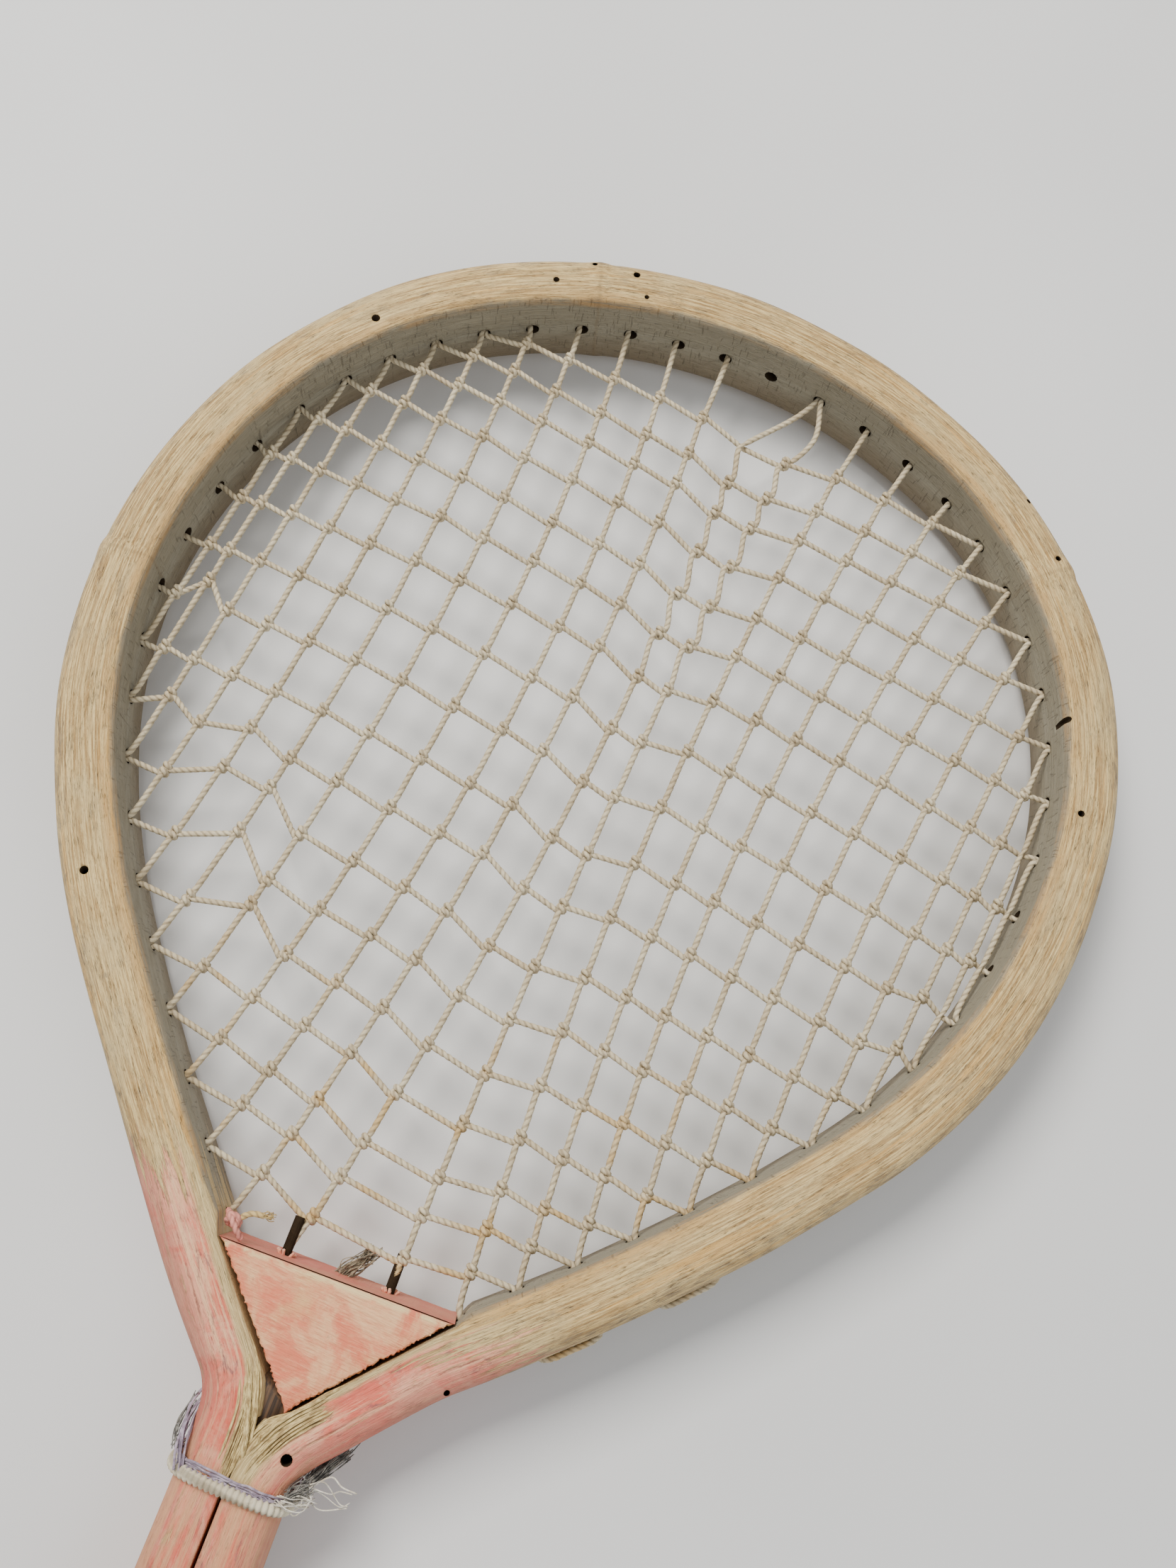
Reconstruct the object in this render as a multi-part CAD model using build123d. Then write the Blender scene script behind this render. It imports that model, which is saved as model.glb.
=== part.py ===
"""An old bent-cane racket with a knotted net, about the size of a squash racket.

Row frame, millimetres: the origin is the middle of the butt's end face, +Y runs up the
handle to the head, +Z is out of the front face, and the net lies in the plane Z = 0.
"""
import os
from math import atan2, cos, degrees, radians, sin

from build123d import *

os.makedirs("parts", exist_ok=True)

# --- The cane: one length bent round the head, its two ends side by side as the handle ---
CANE_INNER = 6.1  # from the cane's centre line to its planed inner face
CANE_OUTER = 6.5  # from the centre line to its rounded outer face
CANE_DEPTH = 21.8  # front to back
OUTER_CORNER = 5.2  # radius of the two outer corners
INNER_CORNER = 1.8  # radius of the two corners of the planed face
APEX = (8.7, 684.0)  # the head's highest point, on the centre line
APEX_HEADING = 1.3  # degrees from +X, the way the cane runs there
# (radius, turn in degrees) from the apex, clockwise down the right side
RIGHT_ARCS = [(116.5, 30.6), (92.0, 61.2), (114.0, 19.5), (108.0, 21.0), (433.0, 10.8)]
# and the same, anticlockwise down the left side
LEFT_ARCS = [(109.0, 24.6), (93.5, 46.2), (106.0, 43.0), (171.0, 13.4), (1100.0, 4.0)]
RIGHT_EASE = (60.0, 8.0)  # the right end straightens a little beside the wedge
RIGHT_RUN = 19.4
RIGHT_THROAT_RADIUS = 20.0
LEFT_THROAT_RADIUS = 16.0
LEG_GAP = 0.4  # between the two legs' planed faces
BUTT_INSET = 8.0  # the legs stop this far short of the butt's end face

# --- String holes, numbered 0 to 47 clockwise from the wedge's left corner ---
HOLE_RADIUS = 1.5
# (hole, distance round the centre line from the apex); the holes between are evenly spaced
HOLE_MARKS = [(0, -297.0), (9, -175.0), (15, -93.5), (24, 14.5), (34, 147.0), (43, 271.0), (47, 318.5)]
GROOVE_WIDTH = 1.4
GROOVE_DEPTH = 1.3
GROOVE_OVERRUN = 0.4
PROUD_LOOPS = (43, 45)  # the outside loops that have worked loose
PROUD_LIFT = 1.0

# --- The net: mains run up the head, crosses are hitched round every main they meet ---
MAIN_RADIUS = 0.6
CROSS_RADIUS = 0.52
CORD_CLEARANCE = 0.12
MAIN_IN_HOLE = 0.65  # a main leaves its hole this far in front of the hole's axis
CROSS_IN_HOLE = -0.95  # and the cross that shares the hole this far behind it
HITCH_REACH = MAIN_RADIUS + CROSS_RADIUS + CORD_CLEARANCE  # from a main's axis to its hitch's turns
HITCH_RISE = 1.9  # how far a hitch climbs its main in one and a half turns
ENTRY_STANDOFF = 1.3  # a string turns into its hole this far in front of the planed face
STRING_IN_HOLE = 4.0
LEAST_TURN = 0.9  # degrees
FIRST_MAIN, LAST_MAIN = -11, 10
FIRST_CROSS, LAST_CROSS = -9, 8
# How far the middle of each main stands off the line between its ends, towards +X
MAIN_BOWS = [0.3, -0.4, 0.6, 2.1, 3.5, 5.0, 5.9, 8.1, 9.1, 8.1, 6.5,
             -2.5, -5.6, -6.3, -7.1, -6.5, -5.2, -2.9, -0.7, 0.2, 0.5, 0.3]
# and how far the middle of each cross bows up the head
CROSS_BOWS = [-1.3, -1.6, -3.3, -1.9, -1.6, -0.9, -0.4, 1.6, 1.6,
              2.4, 3.1, 3.1, 1.7, 0.1, -0.1, 0.6, 0.0, 2.4]
SLACK_MAINS = (-1, 0)  # two mains that have lost their tension, and the dip that they leave
SLACK_DIP = 2.4
LEFT_RISE = 1.7  # the crosses ride up on the mains left of the middle
# Hitches that have slid along their main: (main, cross): distance, up the head
SLID_HITCHES = {(-10, 0): 5.0, (-9, -2): 3.0, (-7, -2): 3.0, (-7, -3): 5.5, (-6, -3): 5.5,
                (-6, -4): 6.0, (-5, -5): 5.0, (8, -1): 1.5, (8, -2): 2.0}
# (main, cross) that only pass each other, for want of room
UNHITCHED = {(-1, 8), (9, -1), (9, 2), (10, 0), (10, 1)}
EMPTY_HOLE = 24  # both slack mains now leave by the next hole

# --- The throat wedge ---
WEDGE_TOP = 465.0
WEDGE_TIP = (4.4, 440.8)
WEDGE_DEPTH = 18.0
WEDGE_GAP = 0.5  # between the wedge's sawn sides and the cane
WEDGE_HOLES = {-1: (-6.1, 1.0), 0: (14.2, -0.5)}  # main: (x, z) of its hole in the top face
WEDGE_HOLE_DEPTH = 8.0
WEDGE_HOLE_RADIUS = 1.0

# --- Bindings and grip ---
NECK_Y = 425.5
NECK_TILT = 6.0  # degrees that the neck binding leans across the handle
RIGHT_EASE_SHARE = 0.3  # a loose band's shift to the right, where the leg bends away
BAND_WIDTH = 5.0
BAND_THICK = 1.6
YARN_RADIUS = 1.5
YARN_TURNS = 2
YARN_PITCH = 3.4
GRIP_TOP = 170.0
GRIP_BOTTOM = 10.0
GRIP_THICK = 1.8
WRAP_CLEARANCE = 0.1
TIE_WIDTH = 5.0
TIE_THICK = 2.6
CAP_THICK = 7.5
CAP_SIDE = 2.6
DOWEL_RADIUS = 2.0
DOWEL_PLACES = (60.0, 330.0)
NAIL_RADIUS = 1.0
NAIL_LENGTH = 20.0
PEG_CLEARANCE = 0.05  # between a pin or a dowel and its bore


def walk(start, heading, arcs, turn_sign):
    """Follow tangent arcs and return (start point, heading, radius, angle, length) for each."""
    runs = []
    (x, y), angle = start, radians(heading)
    for radius, sweep_angle in arcs:
        turn = radians(sweep_angle) * turn_sign
        runs.append((x, y, angle, radius, turn, radius * abs(turn)))
        side = 1 if turn > 0 else -1
        cx, cy = x - side * radius * sin(angle), y + side * radius * cos(angle)
        angle += turn
        x, y = cx + side * radius * sin(angle), cy - side * radius * cos(angle)
    return runs, (x, y), degrees(angle)


RIGHT_RUNS, RIGHT_END, RIGHT_HEADING = walk(APEX, APEX_HEADING, RIGHT_ARCS, -1)
LEFT_RUNS, LEFT_END, LEFT_HEADING = walk(APEX, APEX_HEADING + 180, LEFT_ARCS, +1)


def cane_place(distance):
    """Centre-line point at a distance from the apex, and the unit vector into the head."""
    runs = RIGHT_RUNS if distance >= 0 else LEFT_RUNS
    left = abs(distance)
    for x, y, angle, radius, turn, length in runs:
        if left <= length or (x, y, angle, radius, turn, length) == runs[-1]:
            side = 1 if turn > 0 else -1
            here = angle + side * left / radius
            cx, cy = x - side * radius * sin(angle), y + side * radius * cos(angle)
            px, py = cx + side * radius * sin(here), cy - side * radius * cos(here)
            return Vector(px, py, 0), Vector(cx - px, cy - py, 0).normalized()
        left -= length


def hole_distance(number):
    """Distance of a string hole round the centre line from the apex."""
    for (n0, d0), (n1, d1) in zip(HOLE_MARKS, HOLE_MARKS[1:]):
        if number <= n1:
            return d0 + (d1 - d0) * (number - n0) / (n1 - n0)


def hole_mouth(number, offset):
    """Point on a hole's axis, offset into the head from the centre line, and the inward way."""
    place, inward = cane_place(hole_distance(number))
    return place + inward * offset, inward


def half_path(right):
    """Half the cane's centre line, from the apex round one side and down its leg."""
    runs = RIGHT_RUNS if right else LEFT_RUNS
    edges = [JernArc((x, y), tangent(degrees(angle)), radius, degrees(turn))
             for x, y, angle, radius, turn, _ in runs]
    if right:
        edges.append(JernArc(RIGHT_END, tangent(RIGHT_HEADING), *RIGHT_EASE))
        heading = RIGHT_HEADING + RIGHT_EASE[1]
        end = edges[-1] @ 1
        edges.append(Line(end, end + Vector(*tangent(heading)) * RIGHT_RUN))
        edges.append(JernArc(edges[-1] @ 1, tangent(heading), RIGHT_THROAT_RADIUS, -90 - heading))
    else:
        edges.append(JernArc(LEFT_END, tangent(LEFT_HEADING), LEFT_THROAT_RADIUS, 270 - LEFT_HEADING))
    end = edges[-1] @ 1
    edges.append(Line(end, (end.X, BUTT_INSET)))
    return [edge.edge() for edge in edges]


def tangent(heading):
    """Unit vector for a heading in degrees."""
    return (cos(radians(heading)), sin(radians(heading)))


def apex_plane(right):
    """Across the cane at the apex: local X into the head, Z the way that half runs."""
    heading = APEX_HEADING if right else APEX_HEADING + 180
    _, inward = cane_place(0)
    return Plane(origin=APEX, x_dir=inward, z_dir=tangent(heading))


def cane_section():
    """The planed, rounded section: flat on the inner side, well rounded on the outer side."""
    section = Pos((CANE_INNER - CANE_OUTER) / 2, 0) * Rectangle(CANE_INNER + CANE_OUTER, CANE_DEPTH)
    section = fillet(section.vertices().group_by(Axis.X)[-1], INNER_CORNER)
    return fillet([v for v in section.vertices().group_by(Axis.X)[0]], OUTER_CORNER)


def half_cane(right, section):
    """One half of the cane, planed flat where the two legs meet."""
    half = sweep(apex_plane(right) * section, path=Wire(half_path(right)))
    side = 1 if right else -1
    over = WEDGE_TIP[1] + 5
    return half - Pos(side * (LEG_GAP / 2 - 20), over / 2, 0) * Box(40, over, 2 * CANE_DEPTH)


def groove(first):
    """The channel on the outer face between hole `first` and the next one."""
    a, _ = hole_mouth(first, -CANE_OUTER)
    b, _ = hole_mouth(first + 1, -CANE_OUTER)
    middle = (a + b) / 2
    across = b - a
    turn = degrees(atan2(across.Y, across.X))
    channel = Box(across.length + GROOVE_OVERRUN, 2 * GROOVE_DEPTH, GROOVE_WIDTH)
    return Location(middle, (0, 0, turn)) * channel


def make_cane():
    cane = half_cane(True, cane_section()) + half_cane(False, cane_section())
    holes = []
    for number in range(HOLE_MARKS[-1][0] + 1):
        centre, inward = hole_mouth(number, 0)
        holes.append(Plane(origin=centre, z_dir=inward) * Cylinder(HOLE_RADIUS, 4 * CANE_OUTER))
    grooves = [groove(first) for first in range(1, HOLE_MARKS[-1][0] - 1, 2)]
    nails = [place * Rot(-90, 0, 0) * Cylinder(NAIL_RADIUS + PEG_CLEARANCE, 60) for place in nail_places()]
    return cane - holes - grooves - dowel_bores() - nails


def dowel_bores():
    """The cross bores that the handle's dowels fill."""
    return [Pos(0, y, 0) * Rot(0, 90, 0) * Cylinder(DOWEL_RADIUS, 60) for y in DOWEL_PLACES]


def nail_places():
    """Where the butt cap's pins go in, one on the middle of each leg."""
    return [Pos(LEG_LEFT / 2, 0, 0), Pos(LEG_RIGHT / 2, 0, 0)]


# --- The net's geometry ---
def main_holes(number):
    """The lower and the upper hole of a main; the two over the wedge have no lower cane hole."""
    if number in WEDGE_HOLES:
        lower = None
    else:
        lower = -2 - number if number < 0 else 48 - number
    upper = 25 + number
    return lower, upper + 1 if upper == EMPTY_HOLE else upper


def cross_holes(number):
    """The left and the right hole of a cross."""
    return 10 + number, 37 - number


def main_ends(number):
    lower, upper = main_holes(number)
    if lower is None:
        x, _ = WEDGE_HOLES[number]
        bottom = Vector(x, WEDGE_TOP, 0)
    else:
        bottom = hole_mouth(lower, CANE_INNER)[0]
    return bottom, hole_mouth(25 + number, CANE_INNER)[0]


def main_point(number, share):
    """Point on a main's smooth run, share 0 at its lower end and 1 at its upper end."""
    bottom, top = main_ends(number)
    along = top - bottom
    side = Vector(along.Y, -along.X, 0).normalized()
    return bottom + along * share + side * (MAIN_BOWS[number - FIRST_MAIN] * 4 * share * (1 - share))


def cross_point(number, share, main):
    """Point on a cross's run, with the rise and the dip that it has where it meets `main`."""
    left, right = (hole_mouth(hole, CANE_INNER)[0] for hole in cross_holes(number))
    along = right - left
    up = Vector(-along.Y, along.X, 0).normalized()
    lift = CROSS_BOWS[number - FIRST_CROSS] * 4 * share * (1 - share)
    lift += LEFT_RISE * max(0, 1 - abs(main + 6) / 5)
    if main in SLACK_MAINS:
        lift -= SLACK_DIP
    return left + along * share + up * lift


def do_cross(main, cross):
    """Whether a main and a cross meet: their holes alternate round the head."""
    lower, _ = main_holes(main)
    upper = 25 + main
    left, right = cross_holes(cross)
    if lower is None:
        return True
    return lower < left < upper if main < 0 else upper < right < lower


def crossing(main, cross):
    """The point where a main and a cross meet, and the main's share there."""
    u = v = 0.5
    for _ in range(40):
        bottom, top = main_ends(main)
        left, right = (hole_mouth(hole, CANE_INNER)[0] for hole in cross_holes(cross))
        a, b = top - bottom, right - left
        gap = cross_point(cross, v, main) - main_point(main, u)
        area = a.X * b.Y - a.Y * b.X
        u += (gap.X * b.Y - gap.Y * b.X) / area
        v += (gap.X * a.Y - gap.Y * a.X) / area
    share = u + SLID_HITCHES.get((main, cross), 0.0) / (top - bottom).length
    return main_point(main, share), share


MAINS = range(FIRST_MAIN, LAST_MAIN + 1)
CROSSES = range(FIRST_CROSS, LAST_CROSS + 1)
KNOTS = {(m, c): crossing(m, c)[0] for m in MAINS for c in CROSSES if do_cross(m, c)}


def into_hole(number, height):
    """The two points by which a string turns into a hole and ends inside it."""
    lift = Vector(0, 0, height)
    outside, inward = hole_mouth(number, CANE_INNER + ENTRY_STANDOFF)
    return [outside + lift, outside - inward * STRING_IN_HOLE + lift]


def main_route(number):
    lower, upper = main_holes(number)
    rise = Vector(0, 0, MAIN_IN_HOLE / 2)
    knots = [KNOTS[number, c] + rise if (number, c) in UNHITCHED else KNOTS[number, c]
             for c in CROSSES if (number, c) in KNOTS]
    if lower is None:
        x, z = WEDGE_HOLES[number]
        start = [Vector(x, WEDGE_TOP - WEDGE_HOLE_DEPTH + 1, z), Vector(x, WEDGE_TOP + 1, z)]
    else:
        start = into_hole(lower, MAIN_IN_HOLE)[::-1]
    height = -MAIN_IN_HOLE if upper != 25 + number else MAIN_IN_HOLE
    return start + knots + into_hole(upper, height)


def hitch(main, cross):
    """The corners of a hitch: behind the main, round its front, behind it again."""
    knot = KNOTS[main, cross]
    if (main, cross) in UNHITCHED:
        return []
    route = main_route(main)
    at = route.index(knot)
    up = route[at + 1] - route[at - 1]
    up = Vector(up.X, up.Y, 0).normalized()
    right = Vector(up.Y, -up.X, 0)
    left_hole, right_hole = (hole_mouth(hole, CANE_INNER)[0] for hole in cross_holes(cross))
    came = knot - KNOTS.get((main - 1, cross), left_hole)
    goes = KNOTS.get((main + 1, cross), right_hole) - knot
    falls = max(0, *(-part.dot(up) / part.dot(right) for part in (came, goes)))
    rise = HITCH_RISE + 2 * HITCH_REACH * falls
    side, front = right * HITCH_REACH, Vector(0, 0, HITCH_REACH)
    climb = [up * rise * share for share in (-0.5, -0.2, 0.2, 0.5)]
    return [knot + side - front + climb[0], knot + side + front + climb[1],
            knot - side + front + climb[2], knot - side - front + climb[3]]


def cross_route(number):
    left, right = cross_holes(number)
    hitches = [hitch(m, number) for m in MAINS if (m, number) in KNOTS]
    turns = [corner for corners in hitches for corner in corners]
    return into_hole(left, CROSS_IN_HOLE)[::-1] + turns + into_hole(right, CROSS_IN_HOLE)


def bends(route):
    """The ends of a route and the points where it turns enough to need a mitre."""
    kept = [route[0]]
    for here, after in zip(route[1:], route[2:]):
        if (here - kept[-1]).get_angle(after - here) > LEAST_TURN:
            kept.append(here)
    return kept + [route[-1]]


def cord(route, radius):
    """A round cord along straight runs, mitred where it turns."""
    points = bends(route)
    section = Plane(origin=points[0], z_dir=points[1] - points[0]) * Circle(radius)
    return sweep(section, path=Polyline(*points), transition=Transition.RIGHT)


def make_outer_loops():
    """The cord's short lengths on the outside of the head, each from one hole to the next."""
    loops = []
    for first in range(1, HOLE_MARKS[-1][0] - 1, 2):
        proud = PROUD_LIFT if first in PROUD_LOOPS else CROSS_RADIUS + CORD_CLEARANCE - GROOVE_DEPTH
        a, a_in = hole_mouth(first, -CANE_OUTER - proud)
        b, b_in = hole_mouth(first + 1, -CANE_OUTER - proud)
        loops.append(cord([a + a_in * STRING_IN_HOLE, a, b, b + b_in * STRING_IN_HOLE], CROSS_RADIUS))
    return Compound(children=loops)


# --- The other pieces ---
def make_wedge():
    left = cane_place(hole_distance(0))[0].X
    blank = make_face(Polyline((left, WEDGE_TOP), (RIGHT_END[0] + 4, WEDGE_TOP), WEDGE_TIP,
                               (WEDGE_TIP[0] - 2, WEDGE_TIP[1]), close=True))
    wedge = extrude(Pos(0, 0, -WEDGE_DEPTH / 2) * blank, WEDGE_DEPTH)
    clearance = Rectangle(2 * (CANE_INNER + WEDGE_GAP), CANE_DEPTH + 4)
    for right in (True, False):
        wedge -= sweep(apex_plane(right) * clearance, path=Wire(half_path(right)))
    holes = [Pos(x, WEDGE_TOP, z) * Rot(90, 0, 0) * Cylinder(WEDGE_HOLE_RADIUS, 2 * WEDGE_HOLE_DEPTH)
             for x, z in WEDGE_HOLES.values()]
    wedge -= holes
    return wedge.solids().sort_by(SortBy.VOLUME)[-1]


LEG_LEFT = (half_path(False)[-1] @ 1).X - CANE_OUTER  # the outer sides of the two legs
LEG_RIGHT = (half_path(True)[-1] @ 1).X + CANE_OUTER


def sleeve(y, length, thickness, tilt=0.0, ease=0.0):
    """A close-fitting band round both legs, from y to y + length."""
    width = LEG_RIGHT - LEG_LEFT + 2 * WRAP_CLEARANCE + ease
    depth = CANE_DEPTH + 2 * WRAP_CLEARANCE
    inside = RectangleRounded(width, depth, OUTER_CORNER)
    outside = RectangleRounded(width + 2 * thickness, depth + 2 * thickness, OUTER_CORNER + thickness)
    place = Pos((LEG_LEFT + LEG_RIGHT) / 2 + RIGHT_EASE_SHARE * ease, y + length / 2, 0) * Rot(0, 0, tilt)
    return place * Rot(-90, 0, 0) * Pos(0, 0, -length / 2) * extrude(outside - inside, length)


def make_neck_yarn():
    """Soft yarn wound above the neck band, where the right leg already bends away."""
    turns = [sleeve(NECK_Y + BAND_WIDTH / 2 + 0.6 + turn * YARN_PITCH, 2 * YARN_RADIUS,
                    2 * YARN_RADIUS, -NECK_TILT, 3.0 + 2.4 * turn) for turn in range(YARN_TURNS)]
    return Compound(children=turns)


def make_grip_wrap():
    return sleeve(GRIP_BOTTOM + TIE_WIDTH, GRIP_TOP - GRIP_BOTTOM - 2 * TIE_WIDTH, GRIP_THICK)


def make_butt_cap():
    width = LEG_RIGHT - LEG_LEFT + 2 * CAP_SIDE
    block = RectangleRounded(width, CANE_DEPTH + 2 * CAP_SIDE, OUTER_CORNER + CAP_SIDE)
    cap = Pos((LEG_LEFT + LEG_RIGHT) / 2, 0, 0) * Rot(-90, 0, 0) * extrude(block, CAP_THICK)
    rim = cap.faces().sort_by(Axis.Y)[-1].edges()
    return fillet(rim, 2.0) - [place * Rot(-90, 0, 0) * Cylinder(NAIL_RADIUS + PEG_CLEARANCE, 60)
                               for place in nail_places()]


def make_dowels():
    span = LEG_RIGHT - LEG_LEFT
    return Compound(children=[Pos((LEG_LEFT + LEG_RIGHT) / 2, y, 0) * Rot(0, 90, 0)
                              * Cylinder(DOWEL_RADIUS - PEG_CLEARANCE, span) for y in DOWEL_PLACES])


def make_butt_nails():
    """Headless pins through the cap into the legs' end grain."""
    return Compound(children=[place * Rot(-90, 0, 0) * Pos(0, 0, NAIL_LENGTH / 2 + 0.5) * Cylinder(NAIL_RADIUS, NAIL_LENGTH)
                              for place in nail_places()])


PARTS = {
    "cane_frame": make_cane,
    "throat_wedge": make_wedge,
    "outer_loops": make_outer_loops,
    "neck_band": lambda: sleeve(NECK_Y - BAND_WIDTH / 2, BAND_WIDTH, BAND_THICK, -NECK_TILT, 1.4),
    "neck_yarn": make_neck_yarn,
    "grip_wrap": make_grip_wrap,
    "grip_top_tie": lambda: sleeve(GRIP_TOP - TIE_WIDTH, TIE_WIDTH, TIE_THICK),
    "grip_butt_tie": lambda: sleeve(GRIP_BOTTOM, TIE_WIDTH, TIE_THICK),
    "butt_cap": make_butt_cap,
    "butt_nails": make_butt_nails,
    "leg_dowels": make_dowels,
}
for count, number in enumerate(MAINS, 1):
    PARTS[f"main_string_{count:02d}"] = lambda number=number: cord(main_route(number), MAIN_RADIUS)
for count, number in enumerate(CROSSES, 1):
    PARTS[f"cross_string_{count:02d}"] = lambda number=number: cord(cross_route(number), CROSS_RADIUS)

if __name__ == "__main__":
    for name, make in PARTS.items():
        export_step(make(), f"parts/{name}.step")
        print("wrote", name)
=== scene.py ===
# An old bent-cane racket: weathered cane, hand-knotted cord net, painted throat and cord bindings.
# Lengths here are in millimetres and are turned into metres as each mesh is made.
import math
from math import cos, pi, radians, sin

import bpy
import numpy as np
from mathutils import Matrix, Vector


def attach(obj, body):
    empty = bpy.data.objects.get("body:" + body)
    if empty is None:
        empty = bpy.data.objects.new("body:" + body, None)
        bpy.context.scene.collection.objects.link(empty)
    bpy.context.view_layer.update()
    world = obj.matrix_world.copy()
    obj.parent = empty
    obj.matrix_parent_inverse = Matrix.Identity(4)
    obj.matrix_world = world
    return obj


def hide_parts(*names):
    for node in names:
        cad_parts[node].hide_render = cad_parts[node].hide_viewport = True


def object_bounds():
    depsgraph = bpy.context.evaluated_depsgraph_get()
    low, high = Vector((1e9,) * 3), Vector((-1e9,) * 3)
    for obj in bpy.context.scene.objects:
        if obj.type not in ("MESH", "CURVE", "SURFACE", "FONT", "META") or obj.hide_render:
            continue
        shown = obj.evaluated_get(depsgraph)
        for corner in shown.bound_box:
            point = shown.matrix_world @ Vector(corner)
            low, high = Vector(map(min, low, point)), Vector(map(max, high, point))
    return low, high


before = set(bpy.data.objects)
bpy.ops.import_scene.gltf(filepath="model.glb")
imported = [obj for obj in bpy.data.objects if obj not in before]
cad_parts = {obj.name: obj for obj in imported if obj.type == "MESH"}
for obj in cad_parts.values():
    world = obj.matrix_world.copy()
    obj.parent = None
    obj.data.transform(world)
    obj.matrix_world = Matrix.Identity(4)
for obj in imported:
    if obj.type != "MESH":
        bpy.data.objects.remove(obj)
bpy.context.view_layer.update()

mm = 0.001
up = np.array([0.0, 0.0, 1.0])
bpy.ops.object.select_all(action="DESELECT")


# The cane's own numbers
cane = {
    "inner": 6.1, "outer": 6.5, "halfDepth": 10.9,
    "outerCorner": 5.2, "innerCorner": 1.8,
    "apex": (8.7, 684.0), "apexHeading": 1.3,
    "rightArcs": [(116.5, 30.6), (92.0, 61.2), (114.0, 19.5), (108.0, 21.0), (433.0, 10.8)],
    "leftArcs": [(109.0, 24.6), (93.5, 46.2), (106.0, 43.0), (171.0, 13.4), (1100.0, 4.0)],
    "rightEase": (60.0, 8.0), "rightRun": 19.4, "rightThroat": 20.0, "leftThroat": 16.0,
    "buttInset": 8.0, "legGap": 0.34, "ringStep": 1.0,
    "holeMarks": [(0, -297.0), (9, -175.0), (15, -93.5), (24, 14.5), (34, 147.0), (43, 271.0), (47, 318.5)],
    "holeRadius": 1.55, "lastHole": 47,
    "nodes": [-160.0, -30.0, 96.0],   # where the cane's growth rings stand, round from the apex
}


def traceSide(right):
    # the centre line from the apex down one side to the butt, and its heading, every 0.1 mm
    sign = -1 if right else 1
    arcs = cane["rightArcs"] if right else cane["leftArcs"]
    heading = cane["apexHeading"] + (0 if right else 180)
    runs = [(radius * radians(turn), sign / radius) for radius, turn in arcs]
    end = heading + sign * sum(turn for radius, turn in arcs)
    if right:
        radius, turn = cane["rightEase"]
        runs += [(radius * radians(turn), 1 / radius), (cane["rightRun"], 0.0)]
        radius, turn = cane["rightThroat"], -90 - end - turn
    else:
        radius, turn = cane["leftThroat"], 270 - end
    runs += [(radius * radians(abs(turn)), math.copysign(1 / radius, turn)), (900.0, 0.0)]
    step = 0.1
    lengths = np.cumsum([length for length, bend in runs])
    s = np.arange(0, lengths[-1], step)
    bends = np.array([bend for length, bend in runs])[np.searchsorted(lengths, s + step / 2)]
    angle = radians(heading) + np.concatenate([[0], np.cumsum(bends * step)])[:-1]
    middle = angle + bends * step / 2
    x = cane["apex"][0] + np.concatenate([[0], np.cumsum(np.cos(middle) * step)])[:-1]
    y = cane["apex"][1] + np.concatenate([[0], np.cumsum(np.sin(middle) * step)])[:-1]
    keep = y > cane["buttInset"]
    return s[keep], x[keep], y[keep], angle[keep], sign


rightSide, leftSide = traceSide(True), traceSide(False)
legEnds = (-leftSide[0][-1], rightSide[0][-1])


def caneAt(distance):
    # centre-line points and the unit vectors into the head, for distances round from the apex
    distance = np.atleast_1d(np.asarray(distance, float))
    places, inwards = np.zeros((len(distance), 3)), np.zeros((len(distance), 3))
    for s, x, y, angle, sign in (rightSide, leftSide):
        mine = distance >= 0 if sign < 0 else distance < 0
        here = np.abs(distance[mine])
        a = np.interp(here, s, angle)
        places[mine, 0], places[mine, 1] = np.interp(here, s, x), np.interp(here, s, y)
        inwards[mine, 0], inwards[mine, 1] = -sign * np.sin(a), sign * np.cos(a)
    return places, inwards


def holeMouth(number, offset):
    numbers, marks = zip(*cane["holeMarks"])
    place, inward = caneAt(np.interp(number, numbers, marks))
    return place[0] + inward[0] * offset, inward[0]


def smoothStep(low, high, value):
    t = np.clip((value - low) / (high - low), 0, 1)
    return t * t * (3 - 2 * t)


def wave(value, seed, pitch):
    # a slow repeatable wander between about -1 and 1
    return (np.sin(value / pitch + seed) + 0.6 * np.sin(value / pitch * 2.3 + seed * 1.7)
            + 0.35 * np.sin(value / pitch * 5.1 + seed * 3.1)) / 1.95


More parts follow.
